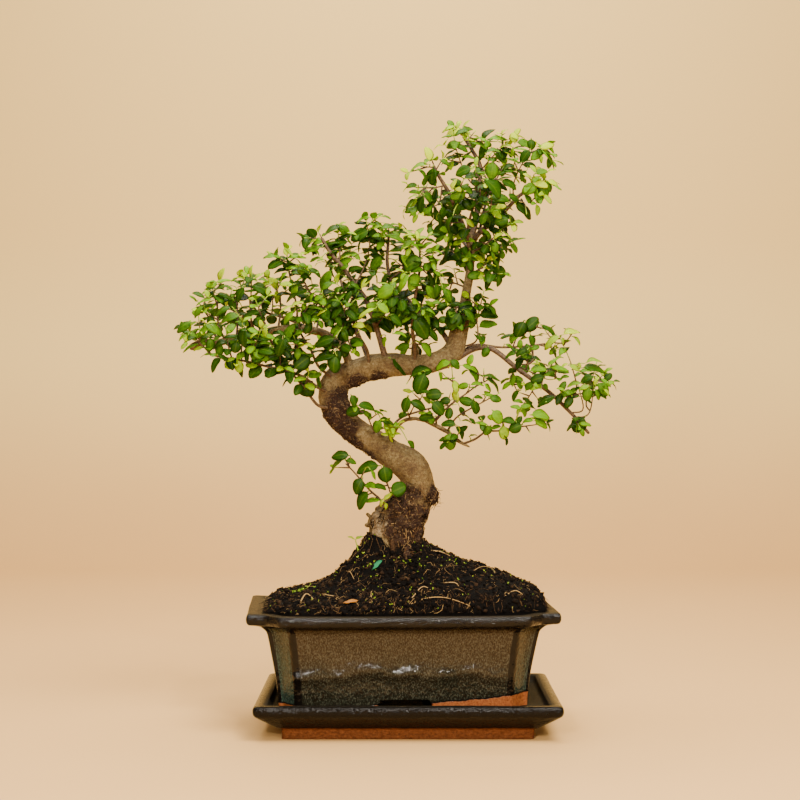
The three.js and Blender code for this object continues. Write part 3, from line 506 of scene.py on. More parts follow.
@dataclass(frozen=True)
class BarkFinish:
    """Smooth tan bark that is rough, dark and flaky where the mesh is marked rough, that dark partly
    painted shade.
    """

    deep: Colour = paint(0x2E2012)
    brown: Colour = paint(0x584326)
    tan: Colour = paint(0x6E5C36)
    pale: Colour = paint(0x928059)
    flake_and_shade: Colour = paint(0x2A150A)
    chip: Colour = paint(0x96784E)
    lichen: Colour = paint(0xB09A74)

    def material(self) -> bpy.types.Material:
        """Makes the material.

        Returns:
            The material.
        """
        graph = Graph("bark")
        place = graph.place()
        rough = graph.mark("rough")
        scar = graph.mark("scar")
        broad = graph.cloud(place, 16, 4, 0.6)
        fine = graph.cloud(place, 2.0, 6, 0.78, 0.6)
        streak = graph.cloud(place, 5, 5, 0.75, 1.5)
        tone = broad * 0.35 + fine * 0.45 + streak * 0.25 - rough * 0.06
        colour = graph.ramp(tone, (0.38, self.deep), (0.47, self.brown), (0.55, self.tan),
                            (0.65, self.pale))
        chip = graph.cloud(graph.stretch(place, (0.5, 0.5, 1)), 2.6, 3, 0.7, 1.5).over(0.52, 0.64)
        crack = 1 - graph.cells(graph.stretch(place, (1, 1, 0.6)), 2.6, "DISTANCE_TO_EDGE").over(0.0, 0.14)
        patches = (rough * 0.9 + (graph.cloud(place, 5, 5, 0.75, 1.0) - 0.5) * 2.2).over(0.3, 0.75)
        # the rough patches' dark flakes and cracks; some patches sit under the level limb and on the lower
        # left of the bend, where this dark is painted shade
        dark = (patches * rough.over(0.0, 0.3)).most(crack * rough)
        colour = graph.mix(dark * (0.62 + fine * 0.6), colour, self.flake_and_shade)
        colour = graph.mix(chip * dark.over(0.2, 0.7) * 0.5, colour, self.chip)
        ash = (scar * 0.7 + (graph.cloud(place, 5, 5, 0.7, 1.0) - 0.5) * 1.8).over(0.4, 0.85)
        colour = graph.mix(ash * scar.over(0.0, 0.3) * 0.75, colour, self.lichen)
        pits = graph.cloud(place, 0.9, 2)
        colour = graph.mix(pits.over(0.57, 0.7) * 0.55, colour, self.deep)
        height = fine * 0.6 + streak * 0.4 + (1 - crack * (0.12 + rough)) * 0.4 + chip * dark * 0.35
        normal = graph.bump(height, 1.5, graph.bump(pits, 0.35))
        return graph.show(graph.surface(base_color=colour, roughness=0.72 + rough * 0.2, normal=normal,
                                        specular_ior_level=0.3))


@dataclass(frozen=True)
class TwigFinish:
    """Grey-brown twigs that turn green towards their young ends."""

    old: Colour = paint(0x3C2A1A)
    pale: Colour = paint(0x6C563C)
    green: Colour = paint(0x8FB02A)

    def material(self) -> bpy.types.Material:
        """Makes the material.

        Returns:
            The material.
        """
        graph = Graph("twig")
        place = graph.place()
        grain = graph.cloud(place, 1.6, 4, 0.7)
        bark = graph.mix(grain.over(0.35, 0.7), self.old, self.pale)
        colour = graph.mix((graph.mark("young") + grain * 0.3 - 0.15).over(0.3, 0.8), bark, self.green)
        return graph.show(graph.surface(base_color=colour, roughness=0.6, normal=graph.bump(grain, 0.2),
                                        specular_ior_level=0.3))


@dataclass(frozen=True)
class LeafFinish:
    """Living leaves, from dark and old to yellow and young, with their ribs and some light through."""

    old: Colour = paint(0x0E2602)
    ripe: Colour = paint(0x2E5402)
    fresh: Colour = paint(0x6E9E00)
    young: Colour = paint(0xC4D400)
    rib: Colour = paint(0xA8C430)
    glow: Colour = paint(0x9CD800)
    through: float = 0.31
    name: str = "leaf"

    def material(self) -> bpy.types.Material:
        """Makes the material.

        Returns:
            The material.
        """
        graph = Graph(self.name)
        across = graph.mark("across")
        along = graph.mark("along")
        chance = graph.mark("chance")
        mottle = graph.cloud(graph.place(), 3.2, 3)
        tone = graph.mark("tone") + (chance - 0.5) * 0.16 + (mottle - 0.5) * 0.3
        blade = graph.ramp(tone, (0.05, self.old), (0.38, self.ripe), (0.68, self.fresh),
                           (0.95, self.young))
        rib = 1 - across.over(0.02, 0.12)
        veins = ((along * 8 - across * 1.5 + chance) * math.tau).wave().over(0.82, 1.0)
        net = (rib * 0.14).most(veins * (1 - across) * 0.1)
        colour = graph.mix(net, blade, self.rib)
        light = graph.mix(0.55, blade, self.glow)
        normal = graph.bump((1 - net) * 0.7 + mottle * 0.3, 0.25)
        face = graph.surface(base_color=colour, roughness=0.42 + chance * 0.14, normal=normal,
                             specular_ior_level=0.12)
        back = graph.node("BsdfTranslucent", None, {"Color": light})
        return graph.show(graph.node("MixShader", None, {0: self.through, 1: face, 2: back}))


@dataclass(frozen=True)
class GrainFinish:
    """Loose matt stuff in a run of colours, picked by the tint that its corners carry."""

    name: str
    colours: tuple[Colour, ...]
    roughness: float = 0.9
    grain: float = 1.2
    depth: float = 0.3

    def material(self) -> bpy.types.Material:
        """Makes the material.

        Returns:
            The material.
        """
        graph = Graph(self.name)
        chance = graph.cloud(graph.place(), self.grain, 3, 0.65)
        tint = graph.mark("tint") + (chance - 0.5) * 0.5
        last = len(self.colours) - 1
        colour = graph.ramp(tint, *((k / last, shade) for k, shade in enumerate(self.colours)))
        return graph.show(graph.surface(base_color=colour, roughness=self.roughness,
                                        normal=graph.bump(chance, self.depth), specular_ior_level=0.1))


@dataclass(frozen=True)
class PotGlaze:
    """Mottled glaze, brown-grey above, that brown partly the glaze's own and partly a painted reflection of
    a wooden floor, and dark green below, nearly black on the lip, in a band of painted shade under it and
    where it breaks over the edges, with bare clay below a slanting line."""

    brown: Colour = paint(0x3A3122)
    freckle: Colour = paint(0x1C1109)
    green: Colour = paint(0x171A12)
    corner: Colour = paint(0x2C4036)
    pale: Colour = paint(0x5A5848)
    black: Colour = paint(0x0E0B08)
    clay: Colour = paint(0x723610)
    baked: Colour = paint(0x9C5A28)
    dust: Colour = paint(0x2E281E)
    brown_from: float = 38.0
    brown_to: float = 70.0
    # the black of the lip starts a little below it, painting the shade under the lip
    lip_and_shade_from: float = 89.0
    bare_below: float = 26.0  # how high the bare clay reaches in the middle
    bare_rise: float = 0.045  # how fast its edge rises to the right
    bare_bend: float = 0.0004  # and how it bends up to both sides

    def material(self) -> bpy.types.Material:
        """Makes the material.

        Returns:
            The material.
        """
        graph = Graph("pot_glaze")
        place = graph.place()
        across, up = graph.axis(place, "X"), graph.axis(place, "Z")
        drift = graph.cloud(graph.stretch(place, (0.6, 0.6, 1)), 24, 4, 0.6)
        runs = graph.cloud(graph.stretch(place, (1, 1, 0.18)), 2.4, 3, 0.6)
        grain = graph.cloud(graph.stretch(place, (1, 1, 0.55)), 1.0, 3, 0.75)
        spots = 1 - graph.cells(graph.stretch(place, (1, 1, 0.5)), 1.7).over(0.14, 0.36)
        height = up + (drift - 0.5) * 40 + (runs - 0.5) * 9
        # the brown above is partly the glaze's own colour and partly a painted reflection of a wooden floor
        wall = graph.mix(height.over(self.brown_from, self.brown_to), self.green, self.brown)
        greener = height.over(self.brown_to + 14, self.brown_from) * 0.7 + 0.5
        greener = greener * (0.45 + across.over(60, -60) * 0.55)
        wall = graph.mix(graph.mark("corner") * greener * (0.6 + runs * 0.8), wall, self.corner)
        wall = graph.mix(grain.over(0.47, 0.62) * 0.75, wall, self.freckle)
        wall = graph.mix(grain.over(0.5, 0.36) * 0.5, wall, self.pale)
        wall = graph.mix(spots * 0.7 * runs.over(0.35, 0.6), wall, self.freckle)
        edge = (graph.mark("edge") * 1.7 + (runs - 0.5) * 0.6).over(0.35, 0.85)
        # black over the lip and, just below it, a band of painted shade
        lip = (up + (runs - 0.5) * 3).over(self.lip_and_shade_from - 2.5, self.lip_and_shade_from)
        colour = graph.mix(edge.most(lip), wall, self.black)
        line = self.bare_below + across * self.bare_rise + across * across * self.bare_bend
        line = line + (graph.cloud(place, 9, 3) - 0.5) * 3.4
        bare = (up - line).over(0.35, -0.35)
        colour = graph.mix((up - line).over(2.2, 0.6), colour, self.black)
        crumb = graph.cloud(place, 1.5, 4, 0.7)
        baked = graph.mix(crumb.over(0.3, 0.75), self.clay, self.baked)
        colour = graph.mix(bare, colour, baked)
        roughness = 0.05 + drift * 0.08 + edge * 0.04 + bare * 0.62
        waves = graph.cloud(place, 2.2, 2) * (0.25 + lip * 0.75)
        normal = graph.bump(graph.cloud(place, 5, 2), 1.0, graph.bump(waves, 0.9, graph.bump(grain, 0.06)))
        normal = graph.bump(bare * crumb, 0.3, normal)
        glazed = graph.surface(base_color=colour, roughness=roughness, normal=normal,
                               specular_ior_level=0.21)
        return graph.show(graph.dusted(glazed, graph.mark("ledge") * 0.75, self.dust))


@dataclass(frozen=True)
class SaucerGlaze:
    """Glossy black-brown glaze over a bare clay foot."""

    black: Colour = paint(0x0E0B08)
    brown: Colour = paint(0x150E08)
    clay: Colour = paint(0x48240C)
    pale: Colour = paint(0x74421F)
    dust: Colour = paint(0x2A261E)
    foot: float = 9.2

    def material(self) -> bpy.types.Material:
        """Makes the material.

        Returns:
            The material.
        """
        graph = Graph("saucer_glaze")
        place = graph.place()
        up = graph.axis(place, "Z")
        grain = graph.cloud(place, 1.0, 3, 0.7)
        drift = graph.cloud(place, 18, 3)
        colour = graph.mix(grain.over(0.5, 0.75) * (0.25 + drift * 0.5), self.black, self.brown)
        crumb = graph.cloud(graph.stretch(place, (0.5, 0.5, 1)), 1.6, 4, 0.7)
        baked = graph.mix(crumb.over(0.3, 0.75), self.clay, self.pale)
        bare = (up + (graph.cloud(place, 8, 2) - 0.5) * 1.6).over(self.foot + 0.2, self.foot - 0.2)
        colour = graph.mix(bare, colour, baked)
        normal = graph.bump(graph.cloud(place, 2.2, 2), 0.7, graph.bump(grain, 0.06))
        normal = graph.bump(graph.cloud(place, 5, 2), 1.1, normal)
        normal = graph.bump(bare * crumb, 0.3, normal)
        roughness = 0.12 + drift * 0.1 + bare * 0.65
        glazed = graph.surface(base_color=colour, roughness=roughness, normal=normal,
                               specular_ior_level=0.12)
        return graph.show(graph.dusted(glazed, graph.mark("ledge") * 0.88, self.dust))


@dataclass(frozen=True)
class PlasticFinish:
    """Matt black moulded plastic."""

    black: Colour = paint(0x1C1C1C)
    dusty: Colour = paint(0x35302A)

    def material(self) -> bpy.types.Material:
        """Makes the material.

        Returns:
            The material.
        """
        graph = Graph("plastic")
        chance = graph.cloud(graph.place(), 3, 3)
        colour = graph.mix(chance.over(0.4, 0.7), self.black, self.dusty)
        return graph.show(graph.surface(base_color=colour, roughness=0.5 + chance * 0.2,
                                        normal=graph.bump(chance, 0.1)))


@dataclass(frozen=True)
class StudioFinish:
    """The pale wall, and the floor a little darker."""

    pale: Colour = paint(0xF9D683)
    sand: Colour = paint(0xDEAE68)
    shade: Colour = (0.6, 0.5, 0.4)
    rise: float = 420.0

    def material(self) -> bpy.types.Material:
        """Makes the material.

        Returns:
            The material.
        """
        graph = Graph("studio")
        place = graph.place()
        drift = graph.cloud(place, 900, 2)
        colour = graph.mix(graph.axis(place, "Z").over(self.rise, 0), self.pale, self.sand)
        colour = graph.mix(drift * 0.06, colour, self.shade)
        return graph.show(graph.surface(base_color=colour, roughness=0.75))


SOIL_FINISH = GrainFinish("soil", (paint(0x030202), paint(0x070503), paint(0x0D0805), paint(0x180F08)))
CRUMB_FINISH = GrainFinish("crumbs", (paint(0x050302), paint(0x0A0604), paint(0x140D07), paint(0x38281A)))
FIBRE_FINISH = GrainFinish("fibres", (paint(0x120A05), paint(0x24170C), paint(0x62462A), paint(0xB0905E)),
                           0.8)
MOSS_FINISH = GrainFinish("moss", (paint(0x3F5A14), paint(0x7C9A24), paint(0xB5CC3C)), 0.7, 0.8)
DRY_LEAF_FINISH = LeafFinish(old=paint(0x7A4A1E), ripe=paint(0xA0662A), fresh=paint(0xC08440),
                             young=paint(0xD29A54), rib=paint(0xE0B478), glow=paint(0xC07A30),
                             through=0.15, name="dry_leaf")
FALLEN_LEAF_FINISH = LeafFinish(old=paint(0x1E6A4A), ripe=paint(0x2C8A5C), fresh=paint(0x3E9A66),
                                young=paint(0x6ABA80), rib=paint(0x8ACFA0), glow=paint(0x4EA86E),
                                name="fallen_leaf")


# The saucer and the pot


def rounded(points: list[Pair], reach: float, steps: int, cuts: Iterable[int]) -> tuple[Array, Array]:
    """Rounds the corners of an outline and puts points along its sides.

    Args:
        points: its corners, anticlockwise.
        reach: how far from its corner each rounding starts.
        steps: how many spans each rounding has.
        cuts: how many spans the side after each corner has.

    Returns:
        The places in x and y, and how near each is to a corner that stands out, from 0 to 1.
    """
    run = np.array(points, float)
    most = 0.45  # the share of a side that a rounding may take
    near, far = 0.5, 3.0  # from how near to how far beyond a corner its mark fades
    places, nearness = [], []
    for before, corner, after, spans in zip(np.roll(run, 1, 0), run, np.roll(run, -1, 0), cuts):
        side = float(np.linalg.norm(after - corner))
        back, ahead = min(reach, most * float(np.linalg.norm(corner - before))), min(reach, most * side)
        start, end = corner + unit(before - corner) * back, corner + unit(after - corner) * ahead
        into, out = corner - before, after - corner
        outward = float(into[0] * out[1] - into[1] * out[0] > 0)
        for t in np.linspace(0, 1, steps + 1):
            places.append(start * (1 - t) ** 2 + corner * 2 * t * (1 - t) + end * t**2)
            nearness.append(outward)
        stop = after + unit(corner - after) * ahead
        for t in np.linspace(0, 1, spans + 1)[1:-1]:
            places.append(end * (1 - t) + stop * t)
            nearness.append(float(1 - ease(min(t, 1 - t) * side, near, far)) * outward)
    return np.array(places), np.array(nearness)


def profile(points: Iterable[tuple[float, ...]], steps: int) -> Array:
    """Runs a smooth line through the points of a profile.

    Args:
        points: numbers of any kind, the last of them a height.
        steps: how many spans lie between two points.

    Returns:
        The points of the line, one row each.
    """
    run = np.array(list(points), float)
    shares = np.linspace(0, len(run) - 1, (len(run) - 1) * steps + 1)
    before = np.clip(np.floor(shares).astype(int), 0, len(run) - 2)
    t = (shares - before)[:, None]
    start, end = run[before], run[before + 1]
    pull = 0.35  # how far the line swings out at its points
    leave = (end - run[np.maximum(before - 1, 0)]) * pull
    arrive = (run[np.minimum(before + 2, len(run) - 1)] - start) * pull
    curve = (2 * t**3 - 3 * t**2 + 1) * start + (3 * t**2 - 2 * t**3) * end
    return curve + (t**3 - 2 * t**2 + t) * leave + (t**3 - t**2) * arrive


@dataclass
class Saucer:
    """The tray that the pot stands in: a clay foot, a sloping underside and a rounded lip."""

    width: float = 247
    depth: float = 200
    corner: float = 5
    cuts: tuple[int, ...] = (30, 40, 30, 40)  # the spans of each side
    waver: float = 0.35
    waver_size: float = 34
    wavers_above: float = 12
    # How far in from the lip at the sides and at the front, and how high
    outside: Table = table("22,20,0 22,20,4 21.8,19.8,8 19,18,9 9,9,15 1.6,1.6,20 0.1,0.1,22.6 0,0,25.4 "
                           "0.8,0.8,27.8 2.6,2.6,28.7")
    inside: Table = table("9,9,28.6 10.7,10.7,27.9 11.6,11.6,25.4 13.2,13.2,23.2 17,17,22.5")
    steps: int = 3
    floor_shares: tuple[float, ...] = (0.75, 0.6, 0.4)

    def outline(self, inset_x: float, inset_y: float) -> Array:
        """Gives the outline at an inset from the lip, in x and y."""
        x, y = self.width / 2 - inset_x, self.depth / 2 - inset_y
        return rounded([(x, -y), (x, y), (-x, y), (-x, -y)], self.corner, 5, self.cuts)[0]

    def build(self) -> None:
        """Builds and dresses the saucer."""
        rings = []
        waver = self.waver * np.array([0.3, 0.3, 1])
        levels = (*profile(self.outside, self.steps), *profile(self.inside, self.steps))
        for inset_x, inset_y, z in levels:
            flat = self.outline(inset_x, inset_y)
            ring = np.column_stack([flat, np.full(len(flat), z)])
            if z > self.wavers_above:
                ring += [waver * ripple(corner, self.waver_size, 3) for corner in ring]
            rings.append(ring)
        for share in self.floor_shares:
            rings.append(rings[-1] * (share, share, 1))
        lip = self.steps * (len(self.outside) - 1)
        ledge = [float(k > lip) for k in range(len(rings))]
        draft = Draft()
        draft.rings(np.array(rings), ledge=np.repeat(ledge, len(rings[0])))
        stand(draft.build("saucer_body", SaucerGlaze().material()), Slot.SAUCER, "saucer")


@dataclass
class Pot:
    """The glazed pot: notched corners, a rolled lip, sloping walls and feet round two channels."""

    width: float = 250
    left_full: float = 1.025  # how much further the left half reaches
    depth: float = 188
    notch_deep: float = 14
    notch_from: float = 99
    notch_to: float = 110
    notch_taper: float = 0.55  # how fast the notches move in with the wall
    notch_round: float = 2.2
    yaw: float = 2.5
    x: float = -5
    z: float = 22.8
    arch_half: float = 21
    arch_height: float = 8
    side_gap_half: float = 20
    channel_edge: float = 2  # half the width over which a channel's edge rises
    sag: float = 1.6
    sag_from: Pair = (55, 76)  # the heights between which it grows
    waver: float = 0.0022
    waver_size: float = 30
    wall_from: float = 60  # how far from the middle the front and the back start, where the glaze runs
    # How far in from the lip, and how high above the pot's own foot
    outside: Table = table("25,0 24.8,4 24.6,8 23,22.5 20.6,37 17.4,54 15.3,62 11,66.4 6,68 1.6,68.9 "
                           "0.1,71.3 0,74.6 0.9,77.2 3.4,78")
    inside: Table = table("9,77.8 12.3,77 14,74 17,70 23.3,61.5 28.6,37.5 32,16")
    outside_steps: int = 10
    inside_steps: int = 3
    under: tuple[float, ...] = (0.2, 0.4, 0.6, 0.75, 0.9)
    cuts: tuple[int, ...] = (8, 5, 2, 34, 2, 5, 8, 88) * 2  # the spans of each side
    # The runs of glaze: x and z of their middles, and their sizes
    runs: Table = table("-86,48,8 -72,49,11 -52,49,8 -38,54,11 -24,54,9 -8,50,8 4,52,9 18,50,14 34,50,9 "
                        "54,53,10 72,49,9")
    run_thick: float = 2.2
    run_tall: float = 0.55

    def outline(self, inset: float) -> tuple[Array, Array, Array]:
        """Gives the pot's outline at an inset from the lip.

        Args:
            inset: how far the outline has stepped in.

        Returns:
            The places in x and y, how near each is to a corner, and whether it is on a corner panel.
        """
        half_width, half_depth = self.width / 2 - inset, self.depth / 2 - inset
        notch_y = half_depth - self.notch_deep
        start, stop = (at - self.notch_taper * inset for at in (self.notch_from, self.notch_to))
        points: list[Pair] = []
        for sx, sy in ((1, -1), (1, 1), (-1, 1), (-1, -1)):
            notch = ((start, half_depth), (stop, notch_y), (half_width - 1, notch_y),
                     (half_width, notch_y - 1))
            run = [(sx * x, sy * y) for x, y in notch]
            points += run if sx * sy < 0 else run[::-1]
        places, near = rounded(points, self.notch_round, 4, self.cuts)
        away_x, away_y = np.abs(places).T
        return places, near, 1.0 * ((away_x > start + 2) & (away_y > notch_y - 6))

    def arch(self, x: float, y: float) -> float:
        """Gives how high the channels under the pot reach at a place."""
        away = min(abs(x) - self.arch_half, abs(y) - self.side_gap_half)
        return self.arch_height * float(1 - ease(away, -self.channel_edge, self.channel_edge))

    def glaze(self, x: float, z: float) -> float:
        """Gives how thick the runs of glaze stand on the front and the back at a place."""
        spread = (((x - run_x) / size) ** 2 + ((z + self.z - run_z) / (self.run_tall * size)) ** 2
                  for run_x, run_z, size in self.runs)
        return self.run_thick * sum(math.exp(-away) for away in spread)

    def world(self, places: Array) -> Array:
        """Turns and moves places from the pot's own frame to where it stands.

        Args:
            places: in x, y and z.

        Returns:
            The moved places.
        """
        angle = math.radians(self.yaw)
        x, y = places[..., 0], places[..., 1]
        turned_x = x * math.cos(angle) - y * math.sin(angle) + self.x
        turned_y = x * math.sin(angle) + y * math.cos(angle)
        return np.stack([turned_x, turned_y, places[..., 2] + self.z], axis=-1)

    def build(self) -> None:
        """Builds and dresses the pot."""
        levels = [*profile(self.outside, self.outside_steps), *profile(self.inside, self.inside_steps)]
        foot, *_ = self.outline(self.outside[0][0])
        nothing = np.zeros(len(foot))
        rings, near, panels, ledge = [], [], [], []
        for share in self.under:
            rings.append(np.column_stack([foot * share, [self.arch(x, y) for x, y in foot * share]]))
            for marks in (near, panels, ledge):
                marks.append(nothing)
        for k, (inset, z) in enumerate(levels):
            flat, nearness, panel = self.outline(inset)
            ring = np.column_stack([flat, np.full(len(flat), z)])
            inner = k >= len(levels) - self.inside_steps * (len(self.inside) - 1)
            for corner in ring:
                self._shape(corner, inner)
            rings.append(ring)
            near.append(nearness * (0 if inner else 1))
            panels.append(panel)
            ledge.append(nothing + float(k >= self.outside_steps * (len(self.outside) - 2)))
        draft = Draft()
        draft.rings(self.world(np.array(rings)), edge=np.concatenate(near), corner=np.concatenate(panels),
                    ledge=np.concatenate(ledge))
        stand(draft.build("pot_body", PotGlaze().material()), Slot.POT, "pot")

    def _shape(self, corner: Array, inner: bool) -> None:
        """Moves one corner of the wall: the feet, the sag of the rim and the runs of glaze.

        Args:
            corner: its place in the pot's frame, which is changed.
            inner: whether it is on the inside.
        """
        x, y, z = corner
        if not inner and z < self.arch_height + 1:
            corner[2] = max(z, self.arch(x, y) * (1 - 0.02 * z))
        corner[2] -= self.sag * float(ease(z, *self.sag_from)) * (1 - (2 * x / self.width) ** 4)
        corner[0] *= self.left_full if x < 0 else 1
        if inner:
            return
        corner[:2] *= 1 + self.waver * ripple(corner, self.waver_size, 5)
        if abs(y) > self.wall_from:
            corner[1] += math.copysign(self.glaze(x, z), y)


@dataclass
class DrainMeshes:
    """The plastic meshes over the drain holes, whose solids keep their shape."""

    nodes: tuple[str, ...] = ("drain_mesh_left", "drain_mesh_right")

    def build(self) -> None:
        """Dresses the solids."""
        finish = PlasticFinish().material()
        for node in self.nodes:
            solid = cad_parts[node]
            for material_slot in solid.material_slots:
                material_slot.material = finish
            log.info("%s: dressed in plastic", node)


# The soil


@dataclass
class Soil:
    """The mound of peat with its crumbs, fibres, moss and bare roots, in the pot that it fills."""

    pot: Pot
    centre: Pair = (-12, 0)
    # The share of the way from the trunk to the rim, and the height there
    left: Table = table("0,160 0.215,158 0.235,155 0.265,147 0.35,137 0.43,128.5 0.5,121.5 0.59,117 "
                        "0.75,110.5 0.87,108 0.94,105.5 0.98,103 1,100.5")
    right: Table = table("0,160 0.18,158 0.215,151.5 0.26,150 0.33,145 0.42,140 0.49,136.5 0.58,133 "
                         "0.675,128 0.79,122.5 0.894,118 0.96,113 0.985,108 1,101.3")
    below: Table = table("33,16.5 29,37.5 24,61.5 16,72")  # how far in from the pot's lip, and how high
    rim_inset: float = 13.5
    spill: float = 0.05
    around: int = 300
    rows: int = 80
    crowding: float = 0.8  # draws the rows together towards the rim
    front: float = -84
    back: float = 80
    rim_share: float = 0.28  # of what is scattered
    crumbs: int = 9500
    crumb_size: Pair = (0.5, 1.9)  # the least, and how much chance may add
    fibres: int = 4200
    fibre_length: Pair = (2.5, 8)  # the same
    fibre_radius: Pair = (0.09, 0.24)
    fibre_turn: float = 0.45  # how far it bends at each point, by chance
    bow: tuple[float, ...] = (0.1, 1.0, 0.9, 0.2)  # how high a fibre's four points stand
    moss: int = 420
    moss_size: Pair = (0.3, 0.7)
    moss_ring: Pair = (0.12, 0.5)  # the share of the way to the rim where a third of it grows
    tuft_size: Pair = (3.2, 2.0)
    tuft_at: Pair = (300, 583)  # in pixels of the photograph
    # The bare roots: their radii, the pixels that they pass through and how high they lie there
    roots: tuple[tuple[float, str], ...] = (
        (0.42, "411,604,0 425,599,1 444,600,1.5 466,606,1 477,608,0"),
        (0.45, "372,602,0 370,595,2 373,589,1"),
        (0.42, "396,599,0 399,609,1 408,611,0"),
        (0.5, "412,598,0 424,589,2 436,592,0"),
        (0.5, "322,594,0 330,598,2 338,595,0"),
        (0.6, "300,603,0 306,597,2 316,600,0"),
        (0.5, "444,583,0 457,586,2 462,594,0"),
        (0.3, "470,573,0 482,569,2.5 492,571,2 497,577,0"),
        (0.6, "431,551,0 441,555,2 455,557,0"),
        (0.5, "505,596,0 517,594,2 528,598,0"),
        (0.4, "340,571,0 350,574,2 356,582,0"),
        (2.6, "388,535,1 391,543,2 393,551,1"),
    )
    stout: float = 2  # roots from this radius on keep their thickness and are dark
    draw: np.random.Generator = field(default_factory=lambda: np.random.default_rng(11))
    top: Array = field(init=False)
    finder: kdtree.KDTree = field(init=False)

    def __post_init__(self) -> None:
        """Works out the rim and the top of the mound."""
        flat, _, _ = self.pot.outline(self.rim_inset)
        rim = self.pot.world(np.column_stack([flat, np.zeros(len(flat))]))[:, :2] - self.centre
        turn = np.arctan2(rim[:, 1], rim[:, 0])
        order = np.argsort(turn)
        self._turns, self._reach = turn[order], np.linalg.norm(rim[order], axis=1)
        self._angles = np.linspace(-math.pi, math.pi, self.around, endpoint=False)
        shares = np.linspace(1, 0, self.rows) ** self.crowding
        self.top = np.array([[self.point(angle, share) for angle in self._angles] for share in shares])
        flat_top = self.top.reshape(-1, 3)
        self.finder = kdtree.KDTree(len(flat_top))
        for k, (x, y, _) in enumerate(flat_top):
            self.finder.insert((x, y, 0), k)
        self.finder.balance()

    def point(self, angle: float, share: float) -> Array:
        """Gives a place on the mound.

        Args:
            angle: the way from the trunk, in radians.
            share: how far towards the rim it lies.

        Returns:
            The place in x, y and z.
        """
        reach = float(np.interp(angle, self._turns, self._reach, period=math.tau))
        reach *= 1 + self.spill * float(ease(math.cos(angle), 0.8, 1))
        away = way(angle) * reach
        bulk = math.hypot(away[0] / (self.pot.width / 2), away[1] / (self.pot.depth / 2))
        rounding = min(1.0, 1 / bulk + (1 - 1 / bulk) * share**4)
        x, y = np.array(self.centre) + away * share * rounding
        left, right = (float(np.interp(share, *zip(*side))) for side in (self.left, self.right))
        place = np.array([x, y, left + (right - left) * float(ease(math.cos(angle), -0.9, 0.9))])
        lumps = 2.2 * ripple(place, 26, 1) + 1.5 * ripple(place, 9, 2) + 0.9 * ripple(place, 3.2, 3)
        place[2] += lumps * float(ease(1 - share, 0, 0.06))
        return place

    def height(self, x: float, y: float) -> float:
        """Gives the height of the mound at a place."""
        _, k, _ = self.finder.find((x, y, 0))
        return float(self.top.reshape(-1, 3)[k][2])

    def sight(self, x: float, z: float) -> Array:
        """Finds where a line of sight meets the mound.

        Args:
            x: where it goes through the origin's plane.
            z: how high it does.

        Returns:
            The place in x, y and z.
        """
        for depth in np.arange(self.front, self.back, 1.0):
            place = EYE.seen((x, z, depth))
            if place[2] < self.height(place[0], place[1]):
                return place
        return EYE.seen((x, z, 0))

    def pixel(self, x: float, y: float) -> Array:
        """Finds the place on the mound that is seen at a point of the photograph."""
        across, up = EYE.spot(x, y)
        return self.sight(float(across), float(up))

    def build(self) -> None:
        """Builds and dresses the soil and what is mixed into it."""
        self._ground()
        self._crumbs()
        self._fibres()
        self._moss()
        self._roots()

    def _ground(self) -> None:
        """Builds the body of the soil down to the pot's floor."""
        rings = []
        for inset, z in self.below:
            flat, _, _ = self.pot.outline(inset)
            world = self.pot.world(np.column_stack([flat, np.full(len(flat), z)]))
            turn = np.arctan2(world[:, 1] - self.centre[1], world[:, 0] - self.centre[0])
            order = np.argsort(turn)
            rings.append(np.column_stack([np.interp(self._angles, turn[order], side, period=math.tau)
                                          for side in world[order].T]))
        rings = np.array([*rings, *self.top[:-1]])
        tint = np.array([0.25 + 0.5 * ripple(place, 5, 8) for place in rings.reshape(-1, 3)])
        draft = Draft()
        draft.rings(rings, tint=tint)
        stand(draft.build("soil_body", SOIL_FINISH.material()), Slot.SOIL, "soil")

    def _spot(self) -> Array:
        """Draws a place on the mound by chance, evenly spread but for more of them at the rim.

        Returns:
            The place.
        """
        share = float(self.draw.uniform(0.03, 1.0) ** 0.5)
        if self.draw.random() < self.rim_share:
            share = self.draw.uniform(0.95, 1.0)
        return self.point(self.draw.uniform(-math.pi, math.pi), share)

    def _crumbs(self) -> None:
        """Scatters crumbs of peat, small ones and a few large ones."""
        lump = np.array(table("1,0,0 0,1,0 -1,0,0 0,-1,0 0,0,1 0,0,-1"))
        sides = np.array(table("0,1,4 1,2,4 2,3,4 3,0,4 1,0,5 2,1,5 3,2,5 0,3,5"), int)
        draft = Draft()
        for _ in range(self.crumbs):
            least, more = self.crumb_size
            size = least + more * float(self.draw.random()) ** 4
            stretch = self.draw.uniform(0.5, 1.5, 3) * size
            tilt = np.linalg.qr(self.draw.normal(size=(3, 3)))[0]
            corners = (lump * self.draw.uniform(0.75, 1.3, (6, 1)) * stretch) @ tilt
            place = self._spot() + (0, 0, size * self.draw.uniform(-0.1, 0.5))
            draft.add(corners + place, [sides], tint=float(self.draw.random()) ** 1.7)
        stand(draft.build("soil_crumbs", CRUMB_FINISH.material(), smooth=False), Slot.SOIL)

    def _strand(self, draft: Draft, foot: Array, length: float, radius: float, tint: float) -> None:
        """Adds one fibre that lies on the mound, its middle bowed up a little.

        Args:
            draft: the mesh.
            foot: where it starts.
            length: how long it is.
            radius: how thick it is.
            tint: its colour.
        """
        angle = self.draw.uniform(0, math.tau)
        points = []
        for k in range(len(self.bow)):
            angle += self.draw.normal(0, self.fibre_turn)
            x = foot[0] + math.cos(angle) * length * k / 3
            y = foot[1] + math.sin(angle) * length * k / 3
            rise = self.bow[k] * self.draw.uniform(0.1, 1.4) * min(2.4, length * 0.2)
            points.append(np.array([x, y, self.height(x, y) + rise]))
        draft.tube(Curve(points), lambda share: radius * (1 - 0.4 * share), 5, 3, tint=tint)

